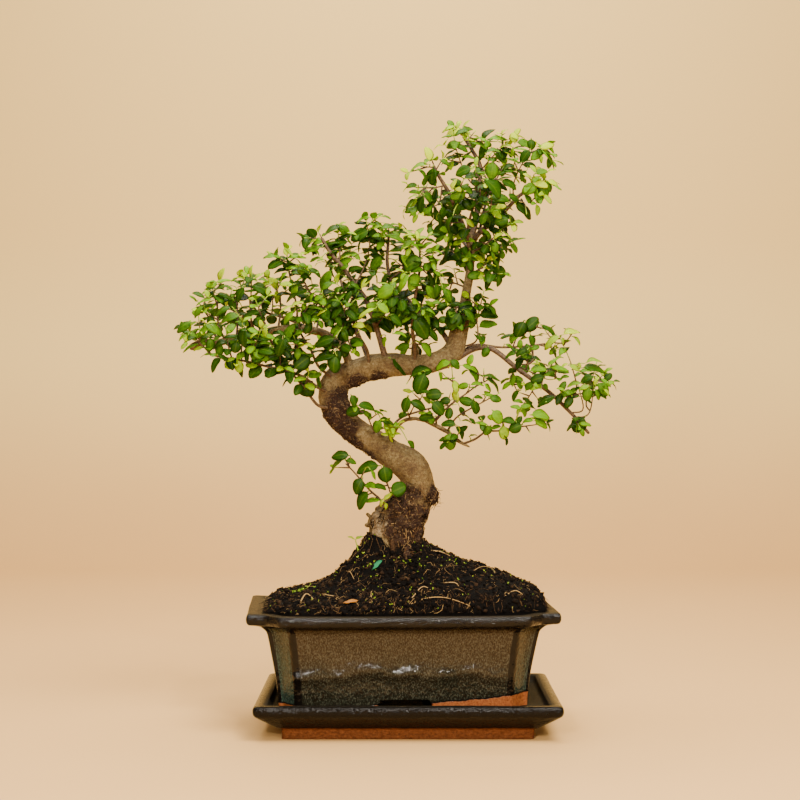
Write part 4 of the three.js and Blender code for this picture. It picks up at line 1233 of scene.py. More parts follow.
    def _fibres(self) -> None:
        """Scatters peat fibres."""
        draft = Draft()
        for _ in range(self.fibres):
            least, more = self.fibre_length
            length = least + more * float(self.draw.random()) ** 2
            tint = float(self.draw.random()) ** 1.9
            self._strand(draft, self._spot(), length, self.draw.uniform(*self.fibre_radius), tint)
        stand(draft.build("soil_fibres", FIBRE_FINISH.material()), Slot.SOIL)

    def _moss(self) -> None:
        """Scatters specks of moss, more of them round the trunk, and one tuft at the left."""
        draft = Draft()
        tuft = self.pixel(*self.tuft_at)
        for k in range(self.moss):
            place = self._spot()
            if k % 3 == 0:
                place = self.point(self.draw.uniform(-math.pi, math.pi), self.draw.uniform(*self.moss_ring))
            if k % 12 == 1:
                x, y = tuft[:2] + self.draw.normal(0, self.tuft_size)
                place = np.array([x, y, self.height(x, y) + 0.4])
            size = self.draw.uniform(*self.moss_size)
            for _ in range(2):
                lean = self.draw.normal(0, 0.8, 3) + (0, 0, 0.8)
                tip = place + unit(lean) * size * self.draw.uniform(1.6, 3.0)
                blade = Curve([place, (place + tip) / 2 + self.draw.normal(0, 0.15, 3), tip])
                draft.tube(blade, lambda share: size * (0.35 + 0.9 * share * (1.25 - share)), 3, 4,
                           tint=float(self.draw.random()))
        stand(draft.build("soil_moss", MOSS_FINISH.material()), Slot.SOIL)

    def _roots(self) -> None:
        """Lays the bare roots on the mound where they are seen."""
        draft = Draft()
        for radius, path in self.roots:
            points = [self.pixel(x, y) + (0, 0, radius * 0.4 + lift) for x, y, lift in table(path)]
            points[1:-1] = [place + self.draw.normal(0, 0.5, 3) for place in points[1:-1]]
            points[-1] -= (0, 0, 1.5)
            taper, tint = (0.5, 0.95) if radius < self.stout else (0.1, 0.4)
            draft.tube(Curve(points), lambda share: radius * (1 - taper * share), 24, 7, tint=tint)
        stand(draft.build("soil_roots", FIBRE_FINISH.material()), Slot.SOIL)


# The trunk


@dataclass
class Trunk:
    """The trunk with its limbs, its roots and its burl, grown as one body of wood."""

    # Along the stem: x, z, depth and radius
    middle: Table = table("-11,116,0,15 -11,132,0,20 -11,147,0,22 -10,159,0,22 -6,171,0,21.5 "
                          "1,183,-1,18.5 7,194,-2,14.5 8,204,-3,13.9 2,215,-4,14.4 -14,226,-4,12.2 "
                          "-30,237,-3,11.1 -48,249,-1,10.8 -59,262,1,11.8 -63,275,3,12.4 -60,287,5,12.2 "
                          "-49,293,5,11 -31,299,4,11 -13,301,2,10.1 7,301,0,8.6 25,304,-1,8.4 "
                          "38,313,-1,8.8 43,329,0,7.8 48,347,0,5.8 49,361,0,4 52,377,0,3.7 53,396,0,3.4 "
                          "53,410,0,2.8")
    roots: Table = table("20,38,7 95,36,7.5 160,36,6.5 215,40,8 300,38,8")  # degrees, reach and radius
    root_bends: Table = table("8,152 22,143")  # how far out from the centre, and z
    root_end: float = 126
    root_centre: float = -12
    burl_at: Point = (-22, 168, -5)
    burl_radius: float = 11
    # Two limbs, the stump, two ribs of the burl, the stub and two spikes: first and last radius, path
    limbs: tuple[tuple[float, float, str], ...] = (
        (3.6, 3.1, "-47,294,0 -54,314,3 -67,326,4 -86,331,4 -109,331,2 -130,326,0 -146,323,-3 "
                   "-160,320,-5 -173,320,-6 -182,316,-6"),
        (1.9, 1.5, "-17,236,-4 -11,246,-12 -5,253,-16 4,256,-20 12,255,-22 22,251,-24 33,245,-26 "
                   "43,237,-28 52,232,-30"),
        (3.6, 3.0, "5,301,0 6,308,-2 7,314,-3"),
        (10.5, 11.0, "-22,168,-5 -21,158,-5 -20,146,-4"),
        (7.5, 5.5, "-16,172,-4 -13,182,-3 -10,190,-2"),
        (5.6, 3.6, "8,194,-2 17,196,-4 22,193,-6 22,186,-6"),
        (2.4, 1.0, "-27,171,-6 -31,174,-6 -34,176,-6"),
        (2.4, 1.0, "-28,165,-6 -32,166,-6 -35.2,166.5,-6"),
    )
    # Where the bark is rough and where it is scarred: x, z, depth and radius of each patch
    # some rough patches lie under the level limb and along the lower left of the bend, where the bark
    # finish's dark paints shade
    rough: Table = table("-55,270,-6,16 -60,258,-6,15 -52,246,-8,13 -46,234,-8,11 -34,223,-8,9 "
                         "-42,285,-2,12 -24,290,-2,9 -6,182,-12,16 4,192,-10,12 10,172,-16,16 "
                         "-10,165,-20,15 22,192,-6,12 -34,152,-16,12 0,150,-20,18 -12,195,20,18 "
                         "-24,170,-14,9 6,160,-14,18")
    scars: Table = table("-24,167,-14,14 -60,285,2,9")
    # The spans and the sides of each tube before they are fused, and the size that they are fused at
    stem_mesh: tuple[int, int] = (200, 32)
    root_mesh: tuple[int, int] = (16, 14)
    limb_mesh: tuple[int, int] = (60, 14)
    burl_mesh: tuple[int, int] = (20, 24)
    voxel: float = 0.8
    smooth_beyond: float = 70  # the relief fades towards this distance from the foot's centre
    smooth_above: float = 345  # and towards this height
    hairs: int = 1100
    hair_from: float = 143
    hair_rough: float = 0.3  # hairs grow where the bark is rougher than this
    fibres_from: float = 178  # below this the bark is fibrous
    fibres_below: float = 222  # above this it is plain
    draw: np.random.Generator = field(default_factory=lambda: np.random.default_rng(7))

    def build(self) -> None:
        """Builds and dresses the trunk."""
        mesh = self._wood()
        places, normals = np.empty((2, len(mesh.vertices) * 3))
        mesh.vertices.foreach_get("co", places)
        mesh.vertex_normals.foreach_get("vector", normals)
        places, normals = places.reshape(-1, 3) / MM, normals.reshape(-1, 3)
        # the rough mark is partly painted shade: the bark finish darkens its patches, some of which lie
        # where shade falls
        rough, scar = self._near(places, self.rough), self._near(places, self.scars)
        rise = np.array([self._relief(place, patch) for place, patch in zip(places, rough)])
        mesh.vertices.foreach_set("co", ((places + normals * rise[:, None]) * MM).ravel())
        for name, values in (("rough", rough), ("scar", scar)):
            mesh.attributes.new(name, "FLOAT", "POINT").data.foreach_set("value", values)
        mesh.shade_smooth()
        mesh.materials.clear()
        mesh.materials.append(BarkFinish().material())
        stand(link("trunk_wood", mesh), Slot.BARK, "trunk")
        self._hairs(places, normals, rough)

    def _hairs(self, places: Array, normals: Array, rough: Array) -> None:
        """Lays fine roots and shreds of bark on the rough parts of the trunk.

        Args:
            places: the corners of its skin.
            normals: where the skin faces there.
            rough: how rough it is there.
        """
        draft = Draft()
        near = np.flatnonzero((places[:, 2] > self.hair_from) & (rough > self.hair_rough))
        for k in self.draw.choice(near, self.hairs):
            foot, out = places[k], normals[k]
            low = self._fibrous(foot)
            length = self.draw.uniform(1.5, 4 + 5 * low)
            drift = self.draw.normal(0, 1, 3) + (0, 0, -0.9 * low)
            drift = unit(drift - out * float(drift @ out))
            points = [foot, foot + out * self.draw.uniform(0.3, 1.0) + drift * length * 0.4,
                      foot + out * self.draw.uniform(-0.2, 0.6) + drift * length]
            radius = self.draw.uniform(0.12, 0.28 + 0.2 * low)
            draft.tube(Curve(points), lambda share: radius * (1 - 0.5 * share), 5, 3,
                       tint=float(self.draw.random()) ** 1.5)
        stand(draft.build("trunk_hairs", FIBRE_FINISH.material()), Slot.BARK)

    def _fibrous(self, place: Array) -> float:
        """Tells how fibrous the bark is at a place, from 0 to 1."""
        return float(1 - ease(place[2], self.fibres_from, self.fibres_below))

    def _wood(self) -> bpy.types.Mesh:
        """Fuses the tubes of the trunk, its roots and its limbs into one skin.

        Returns:
            The mesh of the skin.
        """
        draft = Draft()
        points = [EYE.seen(point) for *point, _ in self.middle]
        curve = Curve(points)
        shares, radii = [curve.nearest(point)[0] for point in points], [row[3] for row in self.middle]
        draft.tube(curve, lambda share: float(np.interp(share, shares, radii)), *self.stem_mesh)
        for degrees, reach, radius in self.roots:
            across, back = way(math.radians(degrees))
            points = [EYE.seen((self.root_centre + far * across, z, far * back))
                      for far, z in (*self.root_bends, (reach, self.root_end))]
            draft.tube(Curve(points), lambda share: radius * (1 - 0.5 * share), *self.root_mesh)
        for thick, thin, path in self.limbs:
            limb = Curve([EYE.seen(point) for point in table(path)])
            draft.tube(limb, lambda share: thick + (thin - thick) * share, *self.limb_mesh)
        burl, radius = EYE.seen(self.burl_at), self.burl_radius
        ball = Curve([burl + (0, 0, -radius), burl, burl + (0, 0, radius)])
        draft.tube(ball, lambda share: radius * math.sqrt(max(0.02, 1 - (2 * share - 1) ** 2)),
                   *self.burl_mesh)
        cast = draft.build("trunk_cast", BarkFinish().material())
        skin = cast.modifiers.new("skin", "REMESH")
        skin.mode = "VOXEL"
        skin.voxel_size = self.voxel * MM
        soft = cast.modifiers.new("soft", "SMOOTH")
        soft.factor, soft.iterations = 0.5, 5
        ready = cast.evaluated_get(bpy.context.evaluated_depsgraph_get())
        mesh = bpy.data.meshes.new_from_object(ready)
        bpy.data.objects.remove(cast)
        return mesh

    @staticmethod
    def _near(places: Array, patches: Table) -> Array:
        """Tells how far within any of some patches each place lies.

        Args:
            places: in x, y and z.
            patches: the x, z, depth and radius of each.

        Returns:
            A share from 0 to 1 for each place.
        """
        share = np.zeros(len(places))
        for x, z, depth, radius in patches:
            away = np.linalg.norm(places - EYE.seen((x, z, depth)), axis=1)
            share = np.maximum(share, 1 - ease(away, radius * 0.5, radius * 1.15))
        return share

    def _relief(self, place: Array, rough: float) -> float:
        """Gives how far the bark stands out at a place.

        Args:
            place: in x, y and z.
            rough: how rough it is there, from 0 to 1.

        Returns:
            The height over the plain wood, in millimetres.
        """
        beside, below = self.smooth_beyond - abs(place[0] - self.root_centre), self.smooth_above - place[2]
        thick = ease(beside, -30, 10) * ease(below, 0, 60)
        relief = 0.9 * ripple(place, 17, 1) + 0.45 * ripple(place, 6, 2) + 0.2 * ripple(place, 2.6, 3)
        rib = ripple(place * (1, 1, 0.16), 4.6, 5) + 0.5 * ripple(place * (1, 1, 0.2), 2.3, 6)
        fibres = (1.6 * rib + 2.2 * ripple(place, 9, 9)) * self._fibrous(place)
        flakes = abs(ripple(place * (1, 1, 0.6), 3.4, 7)) + 0.6 * abs(ripple(place, 1.7, 8))
        return relief * float(0.25 + 0.75 * thick) + fibres + rough * (3.0 * flakes - 0.8)


# The foliage


@dataclass(frozen=True)
class Spray:
    """One leafy stem with its shoots."""

    radius: float  # of the stem where it starts
    runs: str  # x, z and depth of the stem's points, then after each bar those of a shoot

    def curves(self) -> list[Curve]:
        """Draws the stem and the shoots, each shoot from the nearest wood that is there before it.

        Returns:
            The stem, then the shoots.
        """
        stem, *shoots = ([EYE.seen(point) for point in table(run)] for run in self.runs.split("|"))
        grown = [Curve(stem)]
        for path in shoots:
            fork, (share, away) = min(((curve, curve.nearest(path[0])) for curve in grown),
                                      key=lambda found: found[1][1])
            grown.append(Curve([fork.at(max(0.0, share - 0.5 * away / fork.length)), *path]))
        return grown


@dataclass
class Leaf:
    """One leaf: where it sits, where it points and how it is shaped."""

    foot: Array
    along: Array  # where it points
    up: Array  # where its face looks
    length: float
    width: float  # as a share of its length
    tone: float  # from 0, dark and old, to 1, yellow and young
    droop: float  # how far its tip hangs, as a share of its length


class Leaves:
    """A mesh of many leaves drawn from one template of stations along and columns across."""

    STATIONS = np.array([0, 0.1, 0.19, 0.32, 0.46, 0.61, 0.76, 0.9, 1])
    HALF = np.array([0.07, 0.1, 0.62, 0.92, 1, 0.97, 0.83, 0.56, 0.12])  # the width at each station
    COLUMNS = np.array([-1, -0.5, 0, 0.5, 1])
    THICK = 0.35
    FOLD = (-0.3, 0.2)  # how far the halves fold down and up at most
    WAVE = (0.01, 0.045)  # how high the margin waves, as a share of the length
    WAVES = 9  # how fast it does, in radians along the leaf
    ARCH = 0.1  # how high the middle stands over the ends, as a share of the length
    BEND = 0.08  # how far chance bends the tip sideways, the same

    def __init__(self, draw: np.random.Generator) -> None:
        """Lays out the template.

        Args:
            draw: the source of chance.
        """
        self.draw = draw
        self.leaves: list[Leaf] = []
        shape = len(self.STATIONS), len(self.COLUMNS)
        self.inner = np.zeros(shape, bool)
        self.inner[1:-1, 1:-1] = True
        top = np.arange(self.inner.size).reshape(shape)
        below = top.copy()
        below[self.inner] = top.size + np.arange(self.inner.sum())
        faces = [np.stack([g[:-1, :-1], g[:-1, 1:], g[1:, 1:], g[1:, :-1]], axis=-1).reshape(-1, 4)
                 for g in (top, below)]
        self.faces = np.concatenate([faces[0][:, ::-1], faces[1]])

    def add(self, leaf: Leaf) -> None:
        """Adds a leaf."""
        self.leaves.append(leaf)

    def _corners(self, leaf: Leaf) -> Array:
        """Shapes one leaf.

        Args:
            leaf: the leaf.

        Returns:
            The corners of its upper side, then the inner ones of its lower side.
        """
        along = unit(leaf.along)
        up = unit(leaf.up - along * float(leaf.up @ along))
        side = np.cross(along, up)
        t, v = self.STATIONS[:, None], self.COLUMNS[None, :]
        half = self.HALF[:, None] * leaf.length * leaf.width / 2
        phase, bend = self.draw.uniform(0, math.tau), self.draw.normal(0, self.BEND)
        fold = self.draw.uniform(*self.FOLD)
        high = leaf.length * self.draw.uniform(*self.WAVE)
        wave = high * np.sin(t * self.WAVES + phase + v * 0.8) * v**2
        arch = leaf.length * (self.ARCH * np.sin(t * math.pi) - leaf.droop * t**2)
        lift = fold * np.abs(v) ** 1.4 * half + wave * np.sin(t * math.pi) + arch
        sideways = half * v + leaf.length * bend * t**2
        ahead = leaf.length * t * (1 - 0.3 * leaf.droop * t)
        grid = (leaf.foot + ahead[..., None] * along + sideways[..., None] * side + lift[..., None] * up)
        under = grid[self.inner] - up * self.THICK
        return np.concatenate([grid.reshape(-1, 3), under])

    def build(self, name: str, finish: bpy.types.Material) -> bpy.types.Object:
        """Makes the object of all the leaves.

        Args:
            name: its name.
            finish: its material.

        Returns:
            The object.
        """
        draft = Draft()
        across = np.broadcast_to(np.abs(self.COLUMNS), self.inner.shape)
        along = np.broadcast_to(self.STATIONS[:, None], self.inner.shape)
        across, along = (np.concatenate([mark.ravel(), mark[self.inner]]) for mark in (across, along))
        for leaf in self.leaves:
            draft.add(self._corners(leaf), [self.faces], across=across, along=along, tone=leaf.tone,
                      chance=float(self.draw.random()))
        return draft.build(name, finish)


@dataclass
class Pad:
    """A clump of sprays that is dressed together."""

    names: tuple[str, ...]
    centre: Point  # x, z and depth that its leaves turn away from
    fresh: float  # how much young growth it bears, from 0 to 1
    pairs: int = 6  # how many pairs of leaves a shoot bears at most
    gap: float = 6.2  # how far apart they stand
    size: float = 1.0  # of its leaves
    stem: float = 0.8  # how likely a pair on a stem is
    shoot: float = 1.0  # how likely a pair on a shoot is


@dataclass(frozen=True)
class Marked:
    """A leaf that stands out in the photograph."""

    x: float  # where its middle is seen, in pixels from the left
    y: float  # the same from the top
    turn: float  # the way that it points, in degrees anticlockwise from the right
    length: float
    width: float  # as it is seen, as a share of its length
    tone: float


# The leaves that stand out, by the part of the tree that they are on.
MARKED_BY_AREA = {
    "crown": """448,128,195,11,.3,.9 453,132,200,12,.5,.92 457,126,80,6,.4,.9 467,129,10,9,.45,.5
        466,134,-30,9,.3,.85 453,145,190,10,.6,.45 462,147,-10,10,.5,.4 429,154,95,11,.55,.97
        419,166,188,15,.25,.7 423,174,320,9,.35,.5 433,176,270,13,.55,.3 445,162,340,8,.5,.5
        449,158,190,14,.25,.3 412,186,185,9,.45,.4 413,196,185,8,.25,.8 410,204,215,12,.25,.35
        421,204,250,13,.45,.2 430,209,260,12,.35,.2 440,222,280,12,.3,.25 443,212,280,9,.5,.4
        449,224,245,13,.25,.3 464,171,200,12,.6,.35 468,156,10,12,.3,.45 480,145,350,14,.3,.55
        493,151,15,11,.3,.45 495,138,165,10,.35,.6 501,157,330,12,.5,.4 514,138,100,8,.8,1
        506,146,170,10,.25,.75 512,152,255,7,.4,.7 525,144,350,13,.5,.45 531,144,270,8,.7,.35
        547,146,20,11,.55,1 541,159,260,6,.4,.9 549,157,320,18,.25,.6 526,156,240,11,.6,.25
        492,170,265,12,.75,.42 507,171,180,12,.3,.35 523,175,230,9,.5,.55 541,172,20,9,.55,.5
        533,169,120,7,.5,.8 541,184,0,10,.6,.97 553,183,345,9,.45,.85 530,189,200,12,.65,.5
        544,190,290,11,.65,.5 549,186,300,9,.5,.5 536,193,265,8,.3,.65 524,209,325,17,.45,.25
        502,221,200,11,.8,.42 511,218,310,8,.25,.3 495,233,330,13,.45,.35 508,240,350,16,.15,.6
        504,247,305,11,.35,.25 495,247,270,8,.8,.55 446,250,235,11,.3,.25 457,251,270,7,.6,.5
        466,259,245,14,.6,.42 450,260,190,18,.35,.15 494,257,300,10,.25,.45 459,195,200,12,.65,.5
        453,184,80,9,.35,.95 467,204,190,16,.5,.35 493,188,315,17,.5,.4 509,184,340,13,.5,.35
        500,198,0,14,.5,.38 460,234,60,10,.6,.8 458,243,200,8,.5,.8 470,223,330,8,.5,.75""",
    "left": """184,326,205,13,.5,.4 183,337,200,8,.35,.65 198,311,220,11,.4,.45 204,300,185,13,.25,.75
        207,294,120,6,.6,.8 212,284,175,9,.6,.7 223,280,20,12,.25,.75 225,295,350,12,.3,.3
        240,294,235,12,.5,.3 223,310,200,13,.35,.4 230,318,190,15,.4,.45 251,270,90,8,.35,.85
        245,275,110,8,.4,.85 258,276,45,7,.4,.8 240,278,160,8,.3,.9 263,280,0,8,.3,.6 267,274,85,7,.6,.8
        273,283,320,12,.5,.95 266,284,180,9,.4,.8 272,257,170,13,.3,.55 286,252,100,6,.6,.9
        297,256,15,13,.25,.6 294,267,15,11,.4,.65 303,265,350,7,.5,.5 302,270,355,12,.2,.3
        283,276,220,9,.3,.7 305,279,215,8,.35,.3 292,285,280,10,.4,.4 315,272,335,11,.35,.25
        312,248,185,14,.4,.5 315,259,190,9,.35,.45 325,280,235,18,.45,.42 262,289,345,18,.35,.25
        277,297,285,10,.4,.85 297,294,195,19,.3,.22 286,308,190,12,.2,.85 297,303,35,9,.3,.8
        288,316,220,12,.4,.7 311,312,215,15,.5,.4 288,331,220,16,.45,.48 321,312,200,8,.3,.95
        329,307,45,8,.3,.85 265,331,250,8,.5,.75 262,343,200,16,.35,.4 236,347,260,8,.9,.15
        232,363,220,11,.7,.72 239,366,280,9,.7,.74 241,355,40,10,.5,.7 260,355,340,14,.55,.62
        223,357,340,8,.4,.3 248,356,250,9,.45,.2 282,364,235,13,.7,.22 301,363,40,14,.8,.1
        281,347,250,14,.6,.2 311,374,175,13,.35,.45 318,382,265,10,.35,.35 323,367,60,7,.7,.45
        307,391,200,14,.75,.15 211,344,280,10,.6,.4 214,329,340,14,.45,.5 205,331,210,13,.4,.6
        243,337,260,14,.5,.3 325,341,195,16,.5,.28 325,356,180,16,.45,.25 333,363,250,12,.8,.35""",
    "middle": """332,229,190,14,.35,.35 345,229,330,13,.35,.4 363,219,190,11,.3,.6 378,217,40,11,.15,.75
        360,235,205,15,.6,.35 377,227,20,9,.4,.7 388,227,15,11,.4,.45 398,229,340,8,.4,.4 403,232,10,8,.3,.3
        396,236,355,16,.3,.45 381,236,180,13,.35,.4 338,243,185,16,.45,.4 409,234,175,10,.2,.85
        418,236,95,8,.4,.95 423,237,20,8,.3,.75 430,234,60,5,.4,.85 408,244,195,13,.35,.55
        416,247,330,9,.3,.5 426,245,50,9,.35,.6 433,251,10,13,.3,.65 431,261,325,13,.35,.45
        413,262,200,14,.7,.42 377,263,240,12,.6,.5 403,281,225,14,.35,.65 386,291,200,13,.75,.55
        376,306,160,14,.55,.65 383,308,330,10,.6,.65 366,312,200,14,.25,.8 378,318,10,8,.6,1
        389,318,350,8,.3,.85 359,325,165,10,.5,1 369,328,320,8,.45,.9 342,327,200,14,.5,.4
        402,311,240,14,.6,.3 396,320,330,12,.5,.28 420,328,300,18,.6,.38 433,334,320,12,.45,.25
        404,347,200,10,.6,.4 427,348,320,12,.5,.45 384,341,250,8,.4,.75 400,334,0,10,.3,.65
        430,292,300,12,.5,.55 448,294,310,12,.5,.4 437,290,280,10,.5,.3 455,321,240,14,.7,.3
        470,315,320,12,.5,.35 400,366,320,16,.45,.22 443,365,200,13,.4,.6 434,324,280,9,.4,0
        365,282,60,12,.4,.9 345,262,200,13,.45,.6""",
    "right": """521,329,250,13,.75,.22 532,325,30,13,.7,.28 515,337,205,10,.3,.45 532,340,290,9,.55,.3
        550,329,335,15,.3,.4 571,332,20,13,.35,1 551,341,210,15,.35,.78 563,341,290,6,.4,.8
        482,341,80,6,.7,.6 486,352,250,8,.7,.4 510,346,340,8,.35,.6 521,352,200,9,.5,.25 528,352,350,6,.3,.4
        511,354,190,10,.35,.35 538,369,15,13,.4,.55 552,361,50,10,.25,.6 559,367,5,14,.3,.6
        538,379,200,10,.7,.2 546,399,190,15,.4,.3 594,368,0,17,.35,.35 594,361,15,13,.2,.7
        575,368,340,10,.4,.8 604,374,330,9,.5,.9 611,383,0,5,.6,.65 603,389,310,12,.6,.4 607,392,320,6,.4,.9
        587,379,200,11,.5,.3 596,381,80,7,.4,.9 574,384,185,11,.3,.7 573,391,210,8,.5,.5 584,387,190,8,.5,.8
        587,394,260,10,.7,.4 598,394,300,9,.5,.5 566,394,190,12,.4,.5 561,389,150,6,.4,.8
        579,424,230,13,.85,.2 507,385,200,9,.4,.7 512,381,90,8,.5,.6 520,385,100,8,.5,.45 529,386,60,9,.5,.5
        515,395,230,9,.4,.35 533,388,20,7,.5,.7 525,406,20,8,.5,.65 516,407,160,8,.4,.55 524,412,300,8,.5,.6
        540,415,0,14,.5,.68 541,423,330,12,.45,.65 528,421,180,8,.4,.6 497,416,310,11,.7,.62
        504,432,270,10,.7,.72 516,427,200,10,.8,.35 509,421,170,10,.5,.3 519,421,60,8,.5,.35
        496,427,180,8,.4,.5 488,430,240,8,.7,.4 482,423,155,10,.25,.6""",
    "low branch": """455,364,320,9,.6,.4 470,360,80,9,.5,.65 470,367,350,13,.3,.65 474,373,315,14,.45,.45
        441,376,300,7,.4,.5 491,376,0,15,.2,.35 493,384,325,16,.2,.4 477,384,10,10,.3,.6 464,386,200,8,.6,.5
        488,387,320,8,.4,.7 456,387,95,10,.5,.78 455,396,265,10,.5,.88 421,373,20,16,.55,.28
        421,383,250,16,.7,.22 435,395,190,12,.7,.28 425,391,170,8,.35,.3 446,401,190,8,.7,.22
        438,407,320,12,.7,.3 418,404,340,13,.5,.28 406,404,250,12,.55,.3 427,417,180,11,.6,.25
        449,414,80,9,.6,.3 449,424,170,11,.5,.2 460,432,310,11,.4,.25 467,402,175,11,.6,.28
        474,407,280,11,.55,.28 462,411,300,8,.5,.3 495,399,350,9,.6,.42 490,394,5,11,.2,.6
        478,397,10,7,.4,.35 449,441,260,12,.75,.58 467,421,0,9,.15,.6 473,435,20,6,.2,.4""",
    "trunk": """341,455,175,13,.55,.25 351,461,355,8,.5,.4 336,465,215,14,.2,.5 368,468,190,18,.45,.28
        374,474,310,8,.3,.5 385,474,280,12,.85,.25 358,485,235,12,.7,.22 371,486,5,11,.4,.62
        380,487,350,10,.4,.3 362,499,230,15,.5,.32 373,499,165,11,.35,.6 398,490,20,12,.85,.32
        388,495,50,11,.25,.92 382,503,240,6,.4,.95 386,506,290,5,.5,.8 354,400,300,9,.6,.28
        354,411,200,11,.7,.3 366,407,350,13,.45,.42 379,412,345,9,.2,.5 366,414,300,6,.6,.5
        378,426,250,10,.6,.45 386,421,0,12,.35,.3 389,429,95,13,.5,.78 396,434,20,7,.35,.9
        385,434,160,6,.4,.9 391,438,270,7,.3,.85 411,444,315,8,.45,.3 403,415,200,7,.6,.25""",
}
MARKED = tuple(Marked(*leaf) for leaves in MARKED_BY_AREA.values() for leaf in table(leaves))


@dataclass(frozen=True)
class Spread:
    """How far chance spreads what the leaves are given."""

    vigour: float = 0.22
    lean: float = 0.2
    along: float = 0.12
    up: float = 0.25
    width: float = 0.05
    tone: float = 0.13


@dataclass
class Foliage:
    """All the leafy stems of the tree."""

    sprays: dict[str, Spray]
    pads: dict[str, Pad]
    marked: tuple[Marked, ...] = MARKED
    lean: float = math.radians(72)  # how far the leaves of a pair lean away from their shoot
    twig: float = 0.75  # the radius of a shoot
    full: float = 0.62  # how wide a marked leaf is when it isn't seen from the side
    ahead: float = 7  # how far a marked leaf stands in front of its twig
    blade: float = 1.25  # a marked leaf's length with the part that the bend of its blade hides
    stalk: float = 0.62  # how far a marked leaf's foot is from its middle, as a share of its length
    lengths: Point = (9.5, 13.0, 15.5)  # of the leaves at a shoot's end, next to it and further back
    sizes: Pair = (0.8, 1.15)  # what chance multiplies them by
    bare: float = 2.5  # how far from its foot a shoot bears no leaves
    stem_bare: float = 0.35  # the share of a stem that bears none
    stem_gap: float = 1.4  # how much further apart the pairs on a stem stand
    pair_turn: Pair = (math.pi / 2, 0.25)  # from one pair of leaves to the next, and its spread
    end_lean: float = 0.62  # how much less the pair at the end leans
    young_pairs: int = 3  # how many pairs, counted from the end, can be young
    fading: float = 3.2  # how many pairs it would take for the youth to fade altogether
    facing: Point = (0, -0.38, 0.8)  # where the faces look
    wide: float = 0.6  # how wide an old leaf is, as a share of its length
    narrowing: float = 0.16  # how much narrower than that a young one is
    tone: float = 0.16  # of an old leaf
    tone_fresh: float = 0.16  # what a fresh pad adds to it
    tone_young: float = 0.75  # what youth adds
    tone_end: float = 0.12  # what the pair at the end adds
    hang: Pair = (0.2, 0.14)  # how far the tips droop, and its spread
    depth_cost: float = 0.15  # what a step back costs a twig that is picked for a marked leaf
    spread: Spread = Spread()
    draw: np.random.Generator = field(default_factory=lambda: np.random.default_rng(5))

    def build(self) -> None:
        """Builds and dresses the leaves and the twigs of every pad."""
        leaf, twig = LeafFinish().material(), TwigFinish().material()
        total = 0
        chosen = self._assign()
        for name, pad in self.pads.items():
            leaves, twigs = Leaves(self.draw), Draft()
            for spray in (self.sprays[one] for one in pad.names):
                self._grow(spray, pad, leaves, twigs)
            for seen, curve, share in chosen[name]:
                self._bear(seen, curve, share, leaves, twigs)
            slot = Slot.FRESH if pad.fresh > 0.5 else Slot.GREEN
            stand(leaves.build(f"foliage_{name}", leaf), slot, *(f"leaves_{one}" for one in pad.names))
            stand(twigs.build(f"twigs_{name}", twig), Slot.BARK)
            total += len(leaves.leaves)
        log.info("%d leaves", total)

    def _assign(self) -> dict[str, list[tuple[Marked, Curve, float]]]:
        """Picks for each marked leaf the twig that passes nearest to it as it is seen.

        Returns:
            The marked leaves of each pad, with the twig that bears each and the share at which it does.
        """
        chosen: dict[str, list[tuple[Marked, Curve, float]]] = {name: [] for name in self.pads}
        woods = [(name, curve) for name, pad in self.pads.items() for one in pad.names
                 for curve in self.sprays[one].curves()]
        for leaf in self.marked:
            spot = self._foot(leaf)
            found = []
            for name, curve in woods:
                away = np.linalg.norm(EYE.picture(curve.chain) - spot, axis=1)
                away += self.depth_cost * curve.chain[:, 1]
                best = int(away.argmin())
                found.append((float(away[best]), name, curve, float(curve.walked[best]) / curve.length))
            _, name, curve, share = min(found, key=lambda one: one[0])
            chosen[name].append((leaf, curve, share))
        return chosen

    def _foot(self, seen: Marked) -> Array:
        """Gives x and z in the origin's plane of a marked leaf's foot."""
        return EYE.spot(seen.x, seen.y) - way(math.radians(seen.turn)) * seen.length * self.stalk

    def _bear(self, seen: Marked, curve: Curve, share: float, leaves: Leaves, twigs: Draft) -> None:
        """Adds a marked leaf on a thin shoot of its own.

        Args:
            seen: the leaf.
            curve: the twig that bears it.
            share: where it does.
            leaves: the pad's leaves.
            twigs: the pad's twigs.
        """
        fork = curve.at(share)
        across, rise = way(math.radians(seen.turn))
        along = np.array([across, 0.05, rise])
        x, z = self._foot(seen)
        foot = EYE.seen((float(x), float(z), float(fork[1]) - self.ahead))
        shoot = Curve([fork, fork * 0.4 + foot * 0.6 + (0, -1, 1), foot])
        twigs.tube(shoot, lambda at: 0.5 - 0.15 * at, 8, 6, young=0.6)
        width = max(self.full, seen.width)
        tilt = math.acos(seen.width / width)
        over = np.array([-along[2], 0, along[0]]) * (1 if along[0] >= 0 else -1)
        up = over * math.sin(tilt) + np.array([0, -1, 0.15]) * math.cos(tilt)
        leaves.add(Leaf(foot, along, up, seen.length * self.blade, width, seen.tone,
                        0.05 + 0.2 * math.sin(tilt)))

